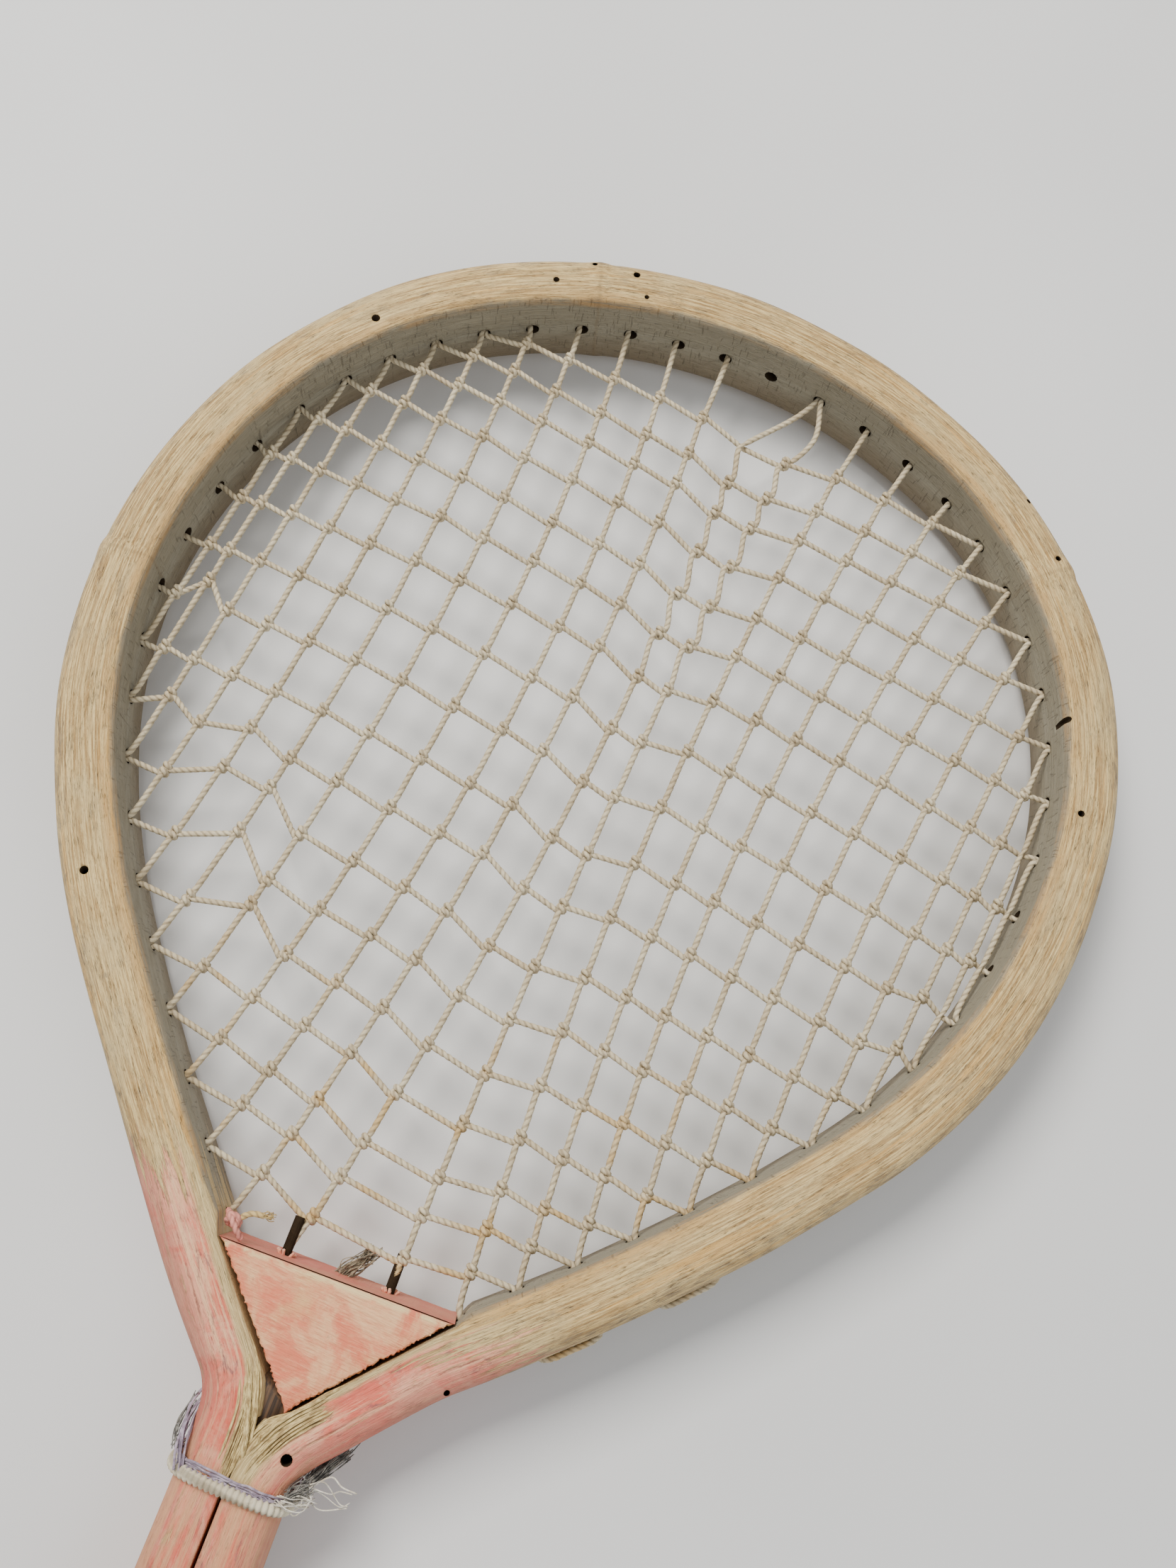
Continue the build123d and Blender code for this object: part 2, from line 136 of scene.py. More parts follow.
# Mesh building
def tubeChunk(rings, us, vs, caps=True, side=None):
    # a skin over rings of points; side is a second map, one value per point
    rings = np.asarray(rings, float)
    count, around = rings.shape[:2]
    i, j = np.meshgrid(np.arange(count - 1), np.arange(around), indexing="ij")
    i, j = i.ravel(), j.ravel()
    k = (j + 1) % around
    quads = np.stack([i * around + j, i * around + k, (i + 1) * around + k, (i + 1) * around + j], 1)
    us, vs = np.asarray(us, float), np.asarray(vs, float)
    uv = np.stack([np.stack([us[i], vs[j]], 1), np.stack([us[i], vs[j + 1]], 1),
                   np.stack([us[i + 1], vs[j + 1]], 1), np.stack([us[i + 1], vs[j]], 1)], 1)
    flat = rings.reshape(-1, 3)
    second = None
    if side is not None:
        side = np.asarray(side, float).reshape(-1, 2)
        second = side[quads]
    a, b, c = flat[quads[:, 0]], flat[quads[:, 1]], flat[quads[:, 3]]
    centres = rings.mean(1)[i]
    if np.einsum("ij,ij->i", np.cross(b - a, c - a), a - centres).sum() < 0:
        quads, uv = quads[:, ::-1], uv[:, ::-1]
        second = second[:, ::-1] if second is not None else None
        ends = [np.arange(around), (count - 1) * around + np.arange(around)[::-1]]
    else:
        ends = [np.arange(around)[::-1], (count - 1) * around + np.arange(around)]
    return {"verts": flat, "quads": quads, "uv": uv, "second": second, "caps": ends if caps else [],
            "capU": (us[0], us[-1])}


def buildPiece(name, chunks, materials, second=False):
    verts, loops, starts, totals, uvs, seconds = [], [], [], [], [], []
    base, at = 0, 0
    for chunk in chunks:
        verts.append(chunk["verts"])
        quads = chunk["quads"] + base
        loops.append(quads.ravel())
        starts.append(at + np.arange(len(quads)) * 4)
        totals.append(np.full(len(quads), 4))
        uvs.append(chunk["uv"].reshape(-1, 2))
        seconds.append(chunk["second"].reshape(-1, 2) if chunk["second"] is not None
                       else np.zeros((quads.size, 2)))
        at += quads.size
        for cap, u in zip(chunk["caps"], chunk["capU"]):
            loops.append(cap + base)
            starts.append(np.array([at]))
            totals.append(np.array([len(cap)]))
            uvs.append(np.tile([u, 0.0], (len(cap), 1)))
            seconds.append(np.zeros((len(cap), 2)))
            at += len(cap)
        base += len(chunk["verts"])
    mesh = bpy.data.meshes.new(name)
    verts, loops = np.concatenate(verts) * mm, np.concatenate(loops)
    mesh.vertices.add(len(verts))
    mesh.vertices.foreach_set("co", verts.ravel())
    mesh.loops.add(len(loops))
    mesh.loops.foreach_set("vertex_index", loops)
    starts, totals = np.concatenate(starts), np.concatenate(totals)
    mesh.polygons.add(len(starts))
    mesh.polygons.foreach_set("loop_start", starts)
    mesh.polygons.foreach_set("loop_total", totals)
    mesh.uv_layers.new(name="along").data.foreach_set("uv", np.concatenate(uvs).ravel())
    if second:
        mesh.uv_layers.new(name="across").data.foreach_set("uv", np.concatenate(seconds).ravel())
    mesh.update(calc_edges=True)
    mesh.validate()
    mesh.polygons.foreach_set("use_smooth", np.ones(len(mesh.polygons), bool))
    piece = bpy.data.objects.new(name, mesh)
    bpy.context.scene.collection.objects.link(piece)
    for material in materials:
        mesh.materials.append(material)
    return piece


def settle(piece, slot, *nodes):
    # every piece rides on the one body, and stands for its own CAD nodes
    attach(piece, "root")
    if nodes:
        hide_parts(*nodes)
    return piece


def smoothPath(points, step, flexible=0.5):
    # a rounded line through points, evenly stepped
    p = np.asarray(points, float)
    gaps = np.maximum(np.linalg.norm(np.diff(p, axis=0), axis=1), 1e-6) ** flexible
    t = np.concatenate([[0], np.cumsum(gaps)])
    slopes = np.diff(p, axis=0) / gaps[:, None]
    tangents = np.empty_like(p)
    tangents[0], tangents[-1] = slopes[0], slopes[-1]
    tangents[1:-1] = (slopes[1:] * gaps[:-1, None] + slopes[:-1] * gaps[1:, None]) / (gaps[1:] + gaps[:-1])[:, None]
    fine = []
    for n in range(len(p) - 1):
        w = np.linspace(0, 1, 14, endpoint=False)[:, None]
        h = gaps[n]
        fine.append((2 * w**3 - 3 * w**2 + 1) * p[n] + (w**3 - 2 * w**2 + w) * h * tangents[n]
                    + (-2 * w**3 + 3 * w**2) * p[n + 1] + (w**3 - w**2) * h * tangents[n + 1])
    fine = np.concatenate(fine + [p[-1:]])
    s = np.concatenate([[0], np.cumsum(np.linalg.norm(np.diff(fine, axis=0), axis=1))])
    even = np.linspace(0, s[-1], max(3, int(round(s[-1] / step)) + 1))
    return np.stack([np.interp(even, s, fine[:, k]) for k in range(3)], 1)


def pathFrames(path):
    # directions and two side vectors that don't spin about the path
    along = np.gradient(path, axis=0)
    along /= np.linalg.norm(along, axis=1)[:, None]
    first = np.cross(along[0], up if abs(along[0][2]) < 0.9 else np.array([1.0, 0, 0]))
    sides = np.empty_like(path)
    side = first / np.linalg.norm(first)
    for n, direction in enumerate(along):
        side = side - direction * (side @ direction)
        side = side / np.linalg.norm(side)
        sides[n] = side
    return along, sides, np.cross(along, sides)


twoPly = np.array([1.0, 0.98, 0.87, 0.98, 1.0, 0.98, 0.87, 0.98])


def cordChunk(path, radius, pitch=2.3, plies=twoPly, turn=0.0):
    # a twisted cord: the rings turn with the twist, so the edges run along its grooves
    radius = np.broadcast_to(radius, len(path))
    s = np.concatenate([[0], np.cumsum(np.linalg.norm(np.diff(path, axis=0), axis=1))])
    along, sides, backs = pathFrames(path)
    around = len(plies)
    angle = 2 * pi * (s / pitch)[:, None] + turn + 2 * pi * np.arange(around)[None, :] / around
    reach = radius[:, None] * plies[None, :]
    rings = (path[:, None, :] + reach[:, :, None] * (np.cos(angle)[:, :, None] * sides[:, None, :]
                                                     + np.sin(angle)[:, :, None] * backs[:, None, :]))
    return tubeChunk(rings, s / 10, np.linspace(0, 1, around + 1))


# Materials
def rgb(red, green, blue):
    return tuple((v / 255 / 12.92 if v <= 10 else ((v / 255 + 0.055) / 1.055) ** 2.4)
                 for v in (red, green, blue)) + (1.0,)


class Shader:
    # a small workbench for one material's nodes

    def __init__(self, name, roughness=0.7, specular=0.35):
        self.material = bpy.data.materials.new(name)
        self.material.use_nodes = True
        self.tree = self.material.node_tree
        self.skin = self.tree.nodes["Principled BSDF"]
        self.skin.inputs["Specular IOR Level"].default_value = specular
        self.skin.inputs["Roughness"].default_value = roughness

    def node(self, kind, **settings):
        made = self.tree.nodes.new(kind)
        for name, value in settings.items():
            setattr(made, name, value)
        return made

    def feed(self, socket, value):
        if isinstance(value, bpy.types.NodeSocket):
            self.tree.links.new(value, socket)
        else:
            socket.default_value = value

    def objectPlace(self, scale=1000.0, turn=(0, 0, 0)):
        place = self.node("ShaderNodeTexCoord").outputs["Object"]
        mapping = self.node("ShaderNodeMapping")
        self.feed(mapping.inputs["Vector"], place)
        scale = (scale,) * 3 if isinstance(scale, float) else scale
        self.feed(mapping.inputs["Scale"], scale)
        self.feed(mapping.inputs["Rotation"], turn)
        return mapping.outputs[0]

    def scaled(self, vector, scale):
        mapping = self.node("ShaderNodeMapping")
        self.feed(mapping.inputs["Vector"], vector)
        self.feed(mapping.inputs["Scale"], scale)
        return mapping.outputs[0]

    def uv(self, name):
        return self.node("ShaderNodeUVMap", uv_map=name).outputs[0]

    def split(self, vector):
        return self.nodeOut("ShaderNodeSeparateXYZ", Vector=vector)

    def nodeOut(self, kind, settings=None, **inputs):
        made = self.node(kind, **(settings or {}))
        for name, value in inputs.items():
            self.feed(made.inputs[name], value)
        return made.outputs

    def noise(self, vector, scale, detail=4.0, rough=0.6, warp=0.0):
        return self.nodeOut("ShaderNodeTexNoise", Vector=vector, Scale=scale, Detail=detail,
                             Roughness=rough, Distortion=warp)[0]

    def sum(self, kind, a, b=0.0, clamp=False):
        made = self.node("ShaderNodeMath", operation=kind, use_clamp=clamp)
        self.feed(made.inputs[0], a)
        self.feed(made.inputs[1], b)
        return made.outputs[0]

    def ramp(self, value, low, high, start=0.0, end=1.0):
        return self.nodeOut("ShaderNodeMapRange", {"interpolation_type": "SMOOTHSTEP"}, Value=value,
                             **{"From Min": low, "From Max": high, "To Min": start, "To Max": end})[0]

    def mix(self, share, a, b, blend="MIX"):
        made = self.node("ShaderNodeMix", data_type="RGBA", blend_type=blend)
        self.feed(made.inputs["Factor"], share)
        self.feed(made.inputs["A"], a)
        self.feed(made.inputs["B"], b)
        return made.outputs["Result"]

    def finish(self, colour, height=None, depth=0.0002, strength=0.8, roughness=None):
        self.feed(self.skin.inputs["Base Color"], colour)
        if roughness is not None:
            self.feed(self.skin.inputs["Roughness"], roughness)
        if height is not None:
            bump = self.node("ShaderNodeBump")
            self.feed(bump.inputs["Height"], height)
            bump.inputs["Distance"].default_value = depth
            bump.inputs["Strength"].default_value = strength
            self.tree.links.new(bump.outputs[0], self.skin.inputs["Normal"])
        return self.material


def caneMaterial():
    s = Shader("weatheredCane", 0.62, 0.4)
    along = s.split(s.uv("along"))
    across = s.split(s.uv("across"))
    # straightened space, a unit a centimetre: X along the cane, Y into the head, Z out of the face
    straight = s.nodeOut("ShaderNodeCombineXYZ", X=along[0], Y=along[1], Z=across[0])[0]
    place = s.objectPlace(1000.0)
    spot = s.split(place)
    inward, front = along[1], across[0]
    grain = s.noise(s.scaled(straight, (0.25, 9.0, 9.0)), 3.0, 6.0, 0.65)
    fine = s.noise(s.scaled(straight, (0.6, 22.0, 22.0)), 3.0, 5.0, 0.7)
    clouds = s.noise(s.scaled(straight, (0.5, 1.0, 1.0)), 1.3, 5.0, 0.6)
    smudge = s.noise(s.scaled(straight, (0.9, 2.2, 2.2)), 2.0, 8.0, 0.75, 0.6)
    base = s.mix(s.ramp(grain, 0.38, 0.62), rgb(166, 130, 76), rgb(228, 198, 136))
    base = s.mix(s.ramp(clouds, 0.42, 0.75, 0.0, 0.8), base, rgb(206, 182, 130))
    base = s.mix(s.ramp(fine, 0.52, 0.34, 0.0, 0.6), base, rgb(140, 110, 70))
    flecks = s.noise(s.scaled(straight, (1.5, 17.0, 17.0)), 2.6, 5.0, 0.75)
    base = s.mix(s.ramp(flecks, 0.55, 0.66, 0.0, 0.75), base, rgb(98, 76, 48))
    base = s.mix(s.ramp(flecks, 0.42, 0.3, 0.0, 0.6), base, rgb(244, 224, 168))
    # honey stripes where the skin of the cane is still on
    base = s.mix(s.ramp(s.noise(s.scaled(straight, (0.12, 3.0, 3.0)), 1.7, 3.0), 0.56, 0.7, 0.0, 0.55),
                 base, rgb(214, 164, 84))
    # grey weathering and black specks in the pores
    grey = s.sum("MULTIPLY", s.ramp(smudge, 0.5, 0.72), s.ramp(fine, 0.35, 0.62))
    rim = s.sum("MULTIPLY", s.ramp(inward, -0.2, -0.5), s.ramp(smudge, 0.42, 0.6))
    grey = s.sum("MAXIMUM", grey, s.sum("MULTIPLY", rim, s.ramp(flecks, 0.42, 0.56)))
    base = s.mix(s.sum("MULTIPLY", grey, 0.75), base, rgb(112, 104, 92))
    pores = s.noise(s.scaled(straight, (1.6, 26.0, 26.0)), 3.0, 3.0, 0.6)
    dark = s.sum("MULTIPLY", s.ramp(pores, 0.58, 0.68), s.ramp(smudge, 0.42, 0.6))
    base = s.mix(s.sum("MULTIPLY", dark, 0.8), base, rgb(58, 48, 38))
    # painted shade: the back half of the cane, outer side included, is darkened brown
    backShade = s.ramp(front, -0.2, -0.95)
    base = s.mix(s.sum("MULTIPLY", backShade, 0.55), base, rgb(138, 112, 80))
    # planed inner face: greyer, with cracks across it
    edgeNoise = s.sum("MULTIPLY", s.sum("SUBTRACT", smudge, 0.5), 0.12)
    planed = s.ramp(s.sum("ADD", inward, edgeNoise), 0.5, 0.58)
    flat = s.mix(s.ramp(grain, 0.3, 0.75), rgb(134, 125, 104), rgb(156, 148, 126))
    # painted shade: the inner face darkens towards the back
    flat = s.mix(s.ramp(front, 0.1, -0.9, 0.0, 0.55), flat, rgb(112, 92, 66))
    cracks = s.noise(s.scaled(straight, (7.0, 0.7, 0.9)), 3.0, 4.0, 0.6, 0.3)
    crackMask = s.ramp(cracks, 0.6, 0.68)
    flat = s.mix(s.sum("MULTIPLY", crackMask, 0.45), flat, rgb(92, 80, 62))
    base = s.mix(planed, base, flat)
    # a honey line along the front inner edge
    edge = s.sum("MULTIPLY", s.ramp(s.sum("ADD", inward, edgeNoise), 0.26, 0.44),
                 s.ramp(s.sum("ADD", front, edgeNoise), 0.78, 0.93))
    edge = s.sum("MULTIPLY", edge, s.sum("MULTIPLY", s.ramp(clouds, 0.35, 0.62), s.ramp(grain, 0.36, 0.56)))
    base = s.mix(s.sum("MULTIPLY", edge, 0.55), base, rgb(190, 140, 70))
    # growth rings
    ringMask = 0.0
    for place in cane["nodes"]:
        off = s.sum("ABSOLUTE", s.sum("SUBTRACT", s.sum("ADD", along[0], edgeNoise), place / 10))
        ringMask = s.sum("MAXIMUM", ringMask, s.ramp(off, 0.07, 0.0))
    base = s.mix(s.sum("MULTIPLY", s.sum("MULTIPLY", ringMask, clouds), 0.5), base, rgb(120, 94, 60))
    # worn paint over the throat and the legs
    worn = s.noise(s.objectPlace(1000.0), 0.09, 7.0, 0.7, 0.5)
    streaks = s.noise(s.scaled(straight, (0.22, 4.5, 4.5)), 1.6, 6.0, 0.68, 0.2)
    chips = s.noise(s.scaled(straight, (0.45, 2.6, 2.6)), 1.6, 7.0, 0.74, 0.4)
    left = s.ramp(spot[0], 6.0, 4.0)
    limit = s.sum("ADD", s.sum("MULTIPLY", left, 9.0), 464.0)
    limit = s.sum("ADD", limit, s.sum("MULTIPLY", s.sum("SUBTRACT", streaks, 0.5), 60.0))
    painted = s.ramp(s.sum("SUBTRACT", limit, spot[1]), 0.0, 3.0)
    # the strip beside the wedge and the split throat never took the paint
    strip = s.sum("MULTIPLY", s.ramp(s.sum("ADD", inward, edgeNoise), 0.24, 0.36), s.ramp(spot[1], 430.0, 437.0))
    deeper = s.sum("ADD", inward, s.ramp(spot[0], 0.5, 1.5, -0.22, 0.0))
    throat = s.sum("MULTIPLY", s.ramp(s.sum("ADD", deeper, s.sum("MULTIPLY", edgeNoise, 2.0)), 0.0, 0.14),
                   s.sum("MULTIPLY", s.ramp(spot[1], 426.0, 431.0), s.ramp(spot[1], 448.0, 442.0)))
    bare = s.sum("MAXIMUM", s.ramp(chips, 0.6, 0.66, 0.0, 0.7), s.sum("MAXIMUM", strip, throat))
    solid = s.sum("MULTIPLY", painted, s.sum("SUBTRACT", 1.0, s.sum("MULTIPLY", bare, 0.92)))
    paint = s.mix(s.ramp(worn, 0.4, 0.6), rgb(220, 104, 80), rgb(230, 160, 128))
    paint = s.mix(s.ramp(streaks, 0.48, 0.62, 0.0, 0.75), paint, rgb(236, 190, 144))
    paint = s.mix(s.ramp(streaks, 0.44, 0.34, 0.0, 0.6), paint, rgb(206, 88, 70))
    paint = s.mix(s.ramp(fine, 0.5, 0.32, 0.0, 0.5), paint, rgb(164, 92, 76))
    paint = s.mix(s.ramp(flecks, 0.42, 0.3, 0.0, 0.5), paint, rgb(246, 206, 178))
    paint = s.mix(s.ramp(flecks, 0.6, 0.7, 0.0, 0.5), paint, rgb(142, 78, 66))
    paint = s.mix(s.sum("MULTIPLY", s.ramp(smudge, 0.55, 0.66), 0.7), paint, rgb(132, 84, 86))
    # worn back to the wood along the outer corner, and browner down the legs
    worse = s.sum("MULTIPLY", s.ramp(inward, -0.1, -0.5), s.ramp(chips, 0.4, 0.58))
    paint = s.mix(s.sum("MULTIPLY", worse, 0.65), paint, rgb(176, 128, 98))
    paint = s.mix(s.sum("MULTIPLY", s.ramp(s.sum("ADD", inward, edgeNoise), -0.1, -0.32), 0.45), paint,
                  rgb(188, 108, 94))
    # a dark line runs down the arms where the round side begins
    offLine = s.sum("ABSOLUTE", s.sum("ADD", s.sum("ADD", inward, 0.16), s.sum("MULTIPLY", edgeNoise, 1.6)))
    crease = s.sum("MULTIPLY", s.ramp(offLine, 0.035, 0.0), s.ramp(chips, 0.44, 0.58))
    paint = s.mix(s.sum("MULTIPLY", crease, 0.75), paint, rgb(118, 66, 54))
    base = s.mix(s.sum("MULTIPLY", crease, 0.4), base, rgb(112, 84, 52))
    lower = s.sum("MULTIPLY", s.ramp(spot[1], 440.0, 425.0), s.ramp(streaks, 0.36, 0.56))
    paint = s.mix(s.sum("MULTIPLY", lower, 0.75), paint, rgb(206, 150, 108))
    straw = s.mix(s.ramp(fine, 0.3, 0.7), rgb(150, 126, 78), rgb(226, 204, 146))
    base = s.mix(s.sum("MULTIPLY", s.sum("MAXIMUM", strip, throat), painted), base, straw)
    base = s.mix(solid, base, paint)
    height = s.sum("ADD", s.sum("MULTIPLY", grain, 0.6), s.sum("MULTIPLY", fine, 0.35))
    height = s.sum("SUBTRACT", height, s.sum("MULTIPLY", dark, 0.35))
    height = s.sum("SUBTRACT", height, s.sum("MULTIPLY", s.sum("MULTIPLY", crackMask, planed), 0.3))
    height = s.sum("ADD", height, s.sum("MULTIPLY", solid, 0.25))
    rough = s.ramp(smudge, 0.3, 0.7, 0.5, 0.78)
    return s.finish(base, height, 0.0006, 0.85, rough)


def cordMaterial(name, light, dark, dirtAndGrooveShade, stain=None):
    s = Shader(name, 0.88, 0.2)
    uv = s.split(s.uv("along"))
    lie = s.sum("COSINE", s.sum("MULTIPLY", uv[1], 4 * pi))
    valley = s.ramp(lie, 0.1, -0.95)
    place = s.objectPlace(1000.0)
    patches = s.noise(place, 0.11, 5.0, 0.65)
    dirt = s.noise(place, 0.9, 5.0, 0.7)
    fibres = s.noise(s.scaled(s.uv("along"), (14.0, 9.0, 1.0)), 6.0, 3.0, 0.6)
    colour = s.mix(s.ramp(patches, 0.35, 0.65), light, dark)
    colour = s.mix(s.ramp(dirt, 0.52, 0.75, 0.0, 0.5), colour, dirtAndGrooveShade)
    colour = s.mix(s.ramp(fibres, 0.35, 0.7, 0.0, 0.35), colour, light)
    if stain:
        spots = s.noise(place, 0.07, 4.0, 0.6)
        spot = s.split(place)
        low = s.sum("MULTIPLY", s.ramp(spots, 0.5, 0.62), s.ramp(spot[1], 545.0, 490.0))
        colour = s.mix(s.sum("MULTIPLY", low, 0.6), colour, stain)
    # painted shade: the grooves between the twisted plies are darkened
    colour = s.mix(s.sum("MULTIPLY", valley, 0.5), colour, dirtAndGrooveShade)
    height = s.sum("SUBTRACT", fibres, s.sum("MULTIPLY", valley, 0.4))
    return s.finish(colour, height, 0.00012, 0.6)


def paintedWood(name, light, dark, turn=0.0, ends=False):
    s = Shader(name, 0.66, 0.35)
    place = s.objectPlace(1000.0, (0, 0, turn))
    grain = s.noise(s.scaled(place, (0.22, 2.4, 1.8)), 1.3, 7.0, 0.7, 0.2)
    streak = s.noise(s.scaled(place, (0.2, 4.2, 3.0)), 1.4, 4.0, 0.7)
    worn = s.noise(place, 0.1, 7.0, 0.68, 0.4)
    colour = s.mix(s.ramp(worn, 0.4, 0.62), dark, light)
    colour = s.mix(s.ramp(s.noise(place, 0.07, 6.0, 0.6, 0.3), 0.5, 0.66, 0.0, 0.8), colour, rgb(232, 190, 128))
    colour = s.mix(s.ramp(grain, 0.52, 0.34, 0.0, 0.5), colour, rgb(196, 114, 82))
    colour = s.mix(s.ramp(grain, 0.54, 0.66, 0.0, 0.35), colour, rgb(244, 204, 158))
    colour = s.mix(s.ramp(streak, 0.58, 0.7, 0.0, 0.45), colour, rgb(164, 98, 70))
    stains = s.noise(place, 0.3, 6.0, 0.75)
    colour = s.mix(s.ramp(stains, 0.64, 0.72, 0.0, 0.55), colour, rgb(122, 96, 84))
    spot = s.split(s.objectPlace(1000.0))
    topFace = s.ramp(spot[1], wedge["top"] - 0.5, wedge["top"] - 0.1)
    colour = s.mix(s.sum("MULTIPLY", topFace, 0.7), colour, rgb(202, 112, 100))
    lip = s.sum("MULTIPLY", s.ramp(spot[1], wedge["top"] - 1.6, wedge["top"] - 0.8),
                s.sum("MULTIPLY", s.ramp(worn, 0.42, 0.55), s.sum("SUBTRACT", 1.0, topFace)))
    colour = s.mix(s.sum("MULTIPLY", lip, 0.75), colour, rgb(244, 216, 156))
    height = s.sum("ADD", s.sum("MULTIPLY", grain, 0.7), s.sum("MULTIPLY", streak, 0.4))
    return s.finish(colour, height, 0.0005, 0.8)


def leatherMaterial():
    s = Shader("gripLeather", 0.6, 0.4)
    place = s.objectPlace(1000.0)
    cells = s.nodeOut("ShaderNodeTexVoronoi", {"feature": "DISTANCE_TO_EDGE"}, Vector=place, Scale=1.1)[0]
    crease = s.ramp(cells, 0.0, 0.09)
    worn = s.noise(place, 0.06, 6.0, 0.65)
    colour = s.mix(s.ramp(worn, 0.35, 0.65), rgb(74, 46, 30), rgb(122, 82, 52))
    colour = s.mix(s.ramp(s.noise(place, 0.7, 5.0, 0.7), 0.5, 0.75, 0.0, 0.5), colour, rgb(52, 34, 24))
    colour = s.mix(s.sum("MULTIPLY", s.sum("SUBTRACT", 1.0, crease), 0.5), colour, rgb(40, 26, 18))
    return s.finish(colour, crease, 0.00015, 0.6, s.ramp(worn, 0.3, 0.7, 0.48, 0.72))


def plainWood(name, light, dark):
    s = Shader(name, 0.6, 0.35)
    place = s.objectPlace(1000.0)
    rings = s.noise(s.scaled(place, (1.2, 0.05, 1.2)), 1.4, 6.0, 0.6, 0.5)
    dirt = s.noise(place, 0.5, 6.0, 0.7)
    colour = s.mix(s.ramp(rings, 0.35, 0.65), dark, light)
    colour = s.mix(s.ramp(dirt, 0.55, 0.75, 0.0, 0.5), colour, rgb(74, 58, 44))
    return s.finish(colour, rings, 0.0002, 0.5)


def brassMaterial():
    s = Shader("nailBrass", 0.42, 0.5)
    s.skin.inputs["Metallic"].default_value = 1.0
    dirt = s.noise(s.objectPlace(1000.0), 1.4, 5.0, 0.7)
    colour = s.mix(s.ramp(dirt, 0.4, 0.65), rgb(176, 140, 78), rgb(104, 82, 54))
    return s.finish(colour, dirt, 0.00005, 0.4, s.ramp(dirt, 0.35, 0.7, 0.35, 0.6))


def fluffMaterial(name, light, dark):
    s = Shader(name, 0.95, 0.1)
    shade = s.noise(s.objectPlace(1000.0), 0.6, 4.0, 0.7)
    colour = s.mix(s.ramp(shade, 0.35, 0.65), dark, light)
    s.skin.inputs["Sheen Weight"].default_value = 0.3
    return s.finish(colour)


def floorMaterial():
    s = Shader("paleFloor", 0.85, 0.2)
    shade = s.noise(s.objectPlace(1000.0), 0.004, 3.0, 0.5)
    return s.finish(s.mix(s.ramp(shade, 0.3, 0.7), rgb(206, 205, 202), rgb(216, 215, 212)))


def holeShadeMaterial():
    # painted shade: near-black walls for drilled, bored and gouged hollows, standing in for the shade inside them
    s = Shader("holeShadePainted", 0.95, 0.05)
    holeShadeNoise = s.noise(s.objectPlace(1000.0), 2.0, 4.0, 0.7)
    return s.finish(s.mix(holeShadeNoise, rgb(26, 20, 14), rgb(58, 46, 32)))


caneSkin = caneMaterial()
holeShade = holeShadeMaterial()
netCord = cordMaterial("netCord", rgb(216, 202, 170), rgb(190, 172, 138), rgb(120, 100, 74), rgb(206, 164, 92))
print("materials ready")


# The cane
wedge = {"tip": (4.4, 440.8), "leftCorner": (-17.8, 465.0), "rightCorner": (28.1, 465.0), "top": 465.0,
         "sawn": [(4.9, 441.7), (27.5, 465.0), (-17.6, 465.0)], "holeRadius": 0.95, "rough": 0.42, "sawStep": 0.32}


def sectionProfile():
    # one turn round the section: share of inner side, share of depth, and the corner's normal
    points = []

    def flat(start, end, normal, count):
        for t in np.linspace(0, 1, count, endpoint=False):
            a, b = np.array(start), np.array(end)
            points.append((*(a + (b - a) * t), *normal))

    def corner(inner, depth, first, count):
        for angle in np.radians(np.linspace(first, first + 90, count, endpoint=False)):
            points.append((inner, depth, cos(angle), sin(angle)))

    flat((0, 0), (0, -1), (-1, 0), 3)       # outer flat, middle to back
    corner(0, -1, 180, 6)
    flat((0, -1), (1, -1), (0, -1), 4)      # back
    corner(1, -1, 270, 3)
    flat((1, -1), (1, 1), (1, 0), 10)       # planed inner face
    corner(1, 1, 0, 3)
    flat((1, 1), (0, 1), (0, 1), 4)         # front
    corner(0, 1, 90, 6)
    flat((0, 1), (0, 0), (-1, 0), 3)
    return np.array(points)


def leanOn(x, y, right):
    # the cane is pared straight where the wedge sits: points past its side are drawn back to it
    corner = np.array(wedge["rightCorner"] if right else wedge["leftCorner"])
    tip = np.array(wedge["tip"])
    along = (corner - tip) / np.linalg.norm(corner - tip)
    across = np.array([-along[1], along[0]]) * (1 if right else -1)
    t = (x - tip[0]) * along[0] + (y - tip[1]) * along[1]
    off = (x - tip[0]) * across[0] + (y - tip[1]) * across[1]
    length = np.linalg.norm(corner - tip)
    limit = np.maximum(0, -t) * 0.6 + np.maximum(0, t - length) * 0.35
    back = np.where((off > limit) & (y > 425) & (y < 490), off - limit, 0.0)
    return x - across[0] * back, y - across[1] * back


def outerTrim(y, right):
    # and the legs taper below the throat
    return np.where(right, 0.4, 1.5) * (1 - smoothStep(425, 470, y)) * smoothStep(180, 330, y)


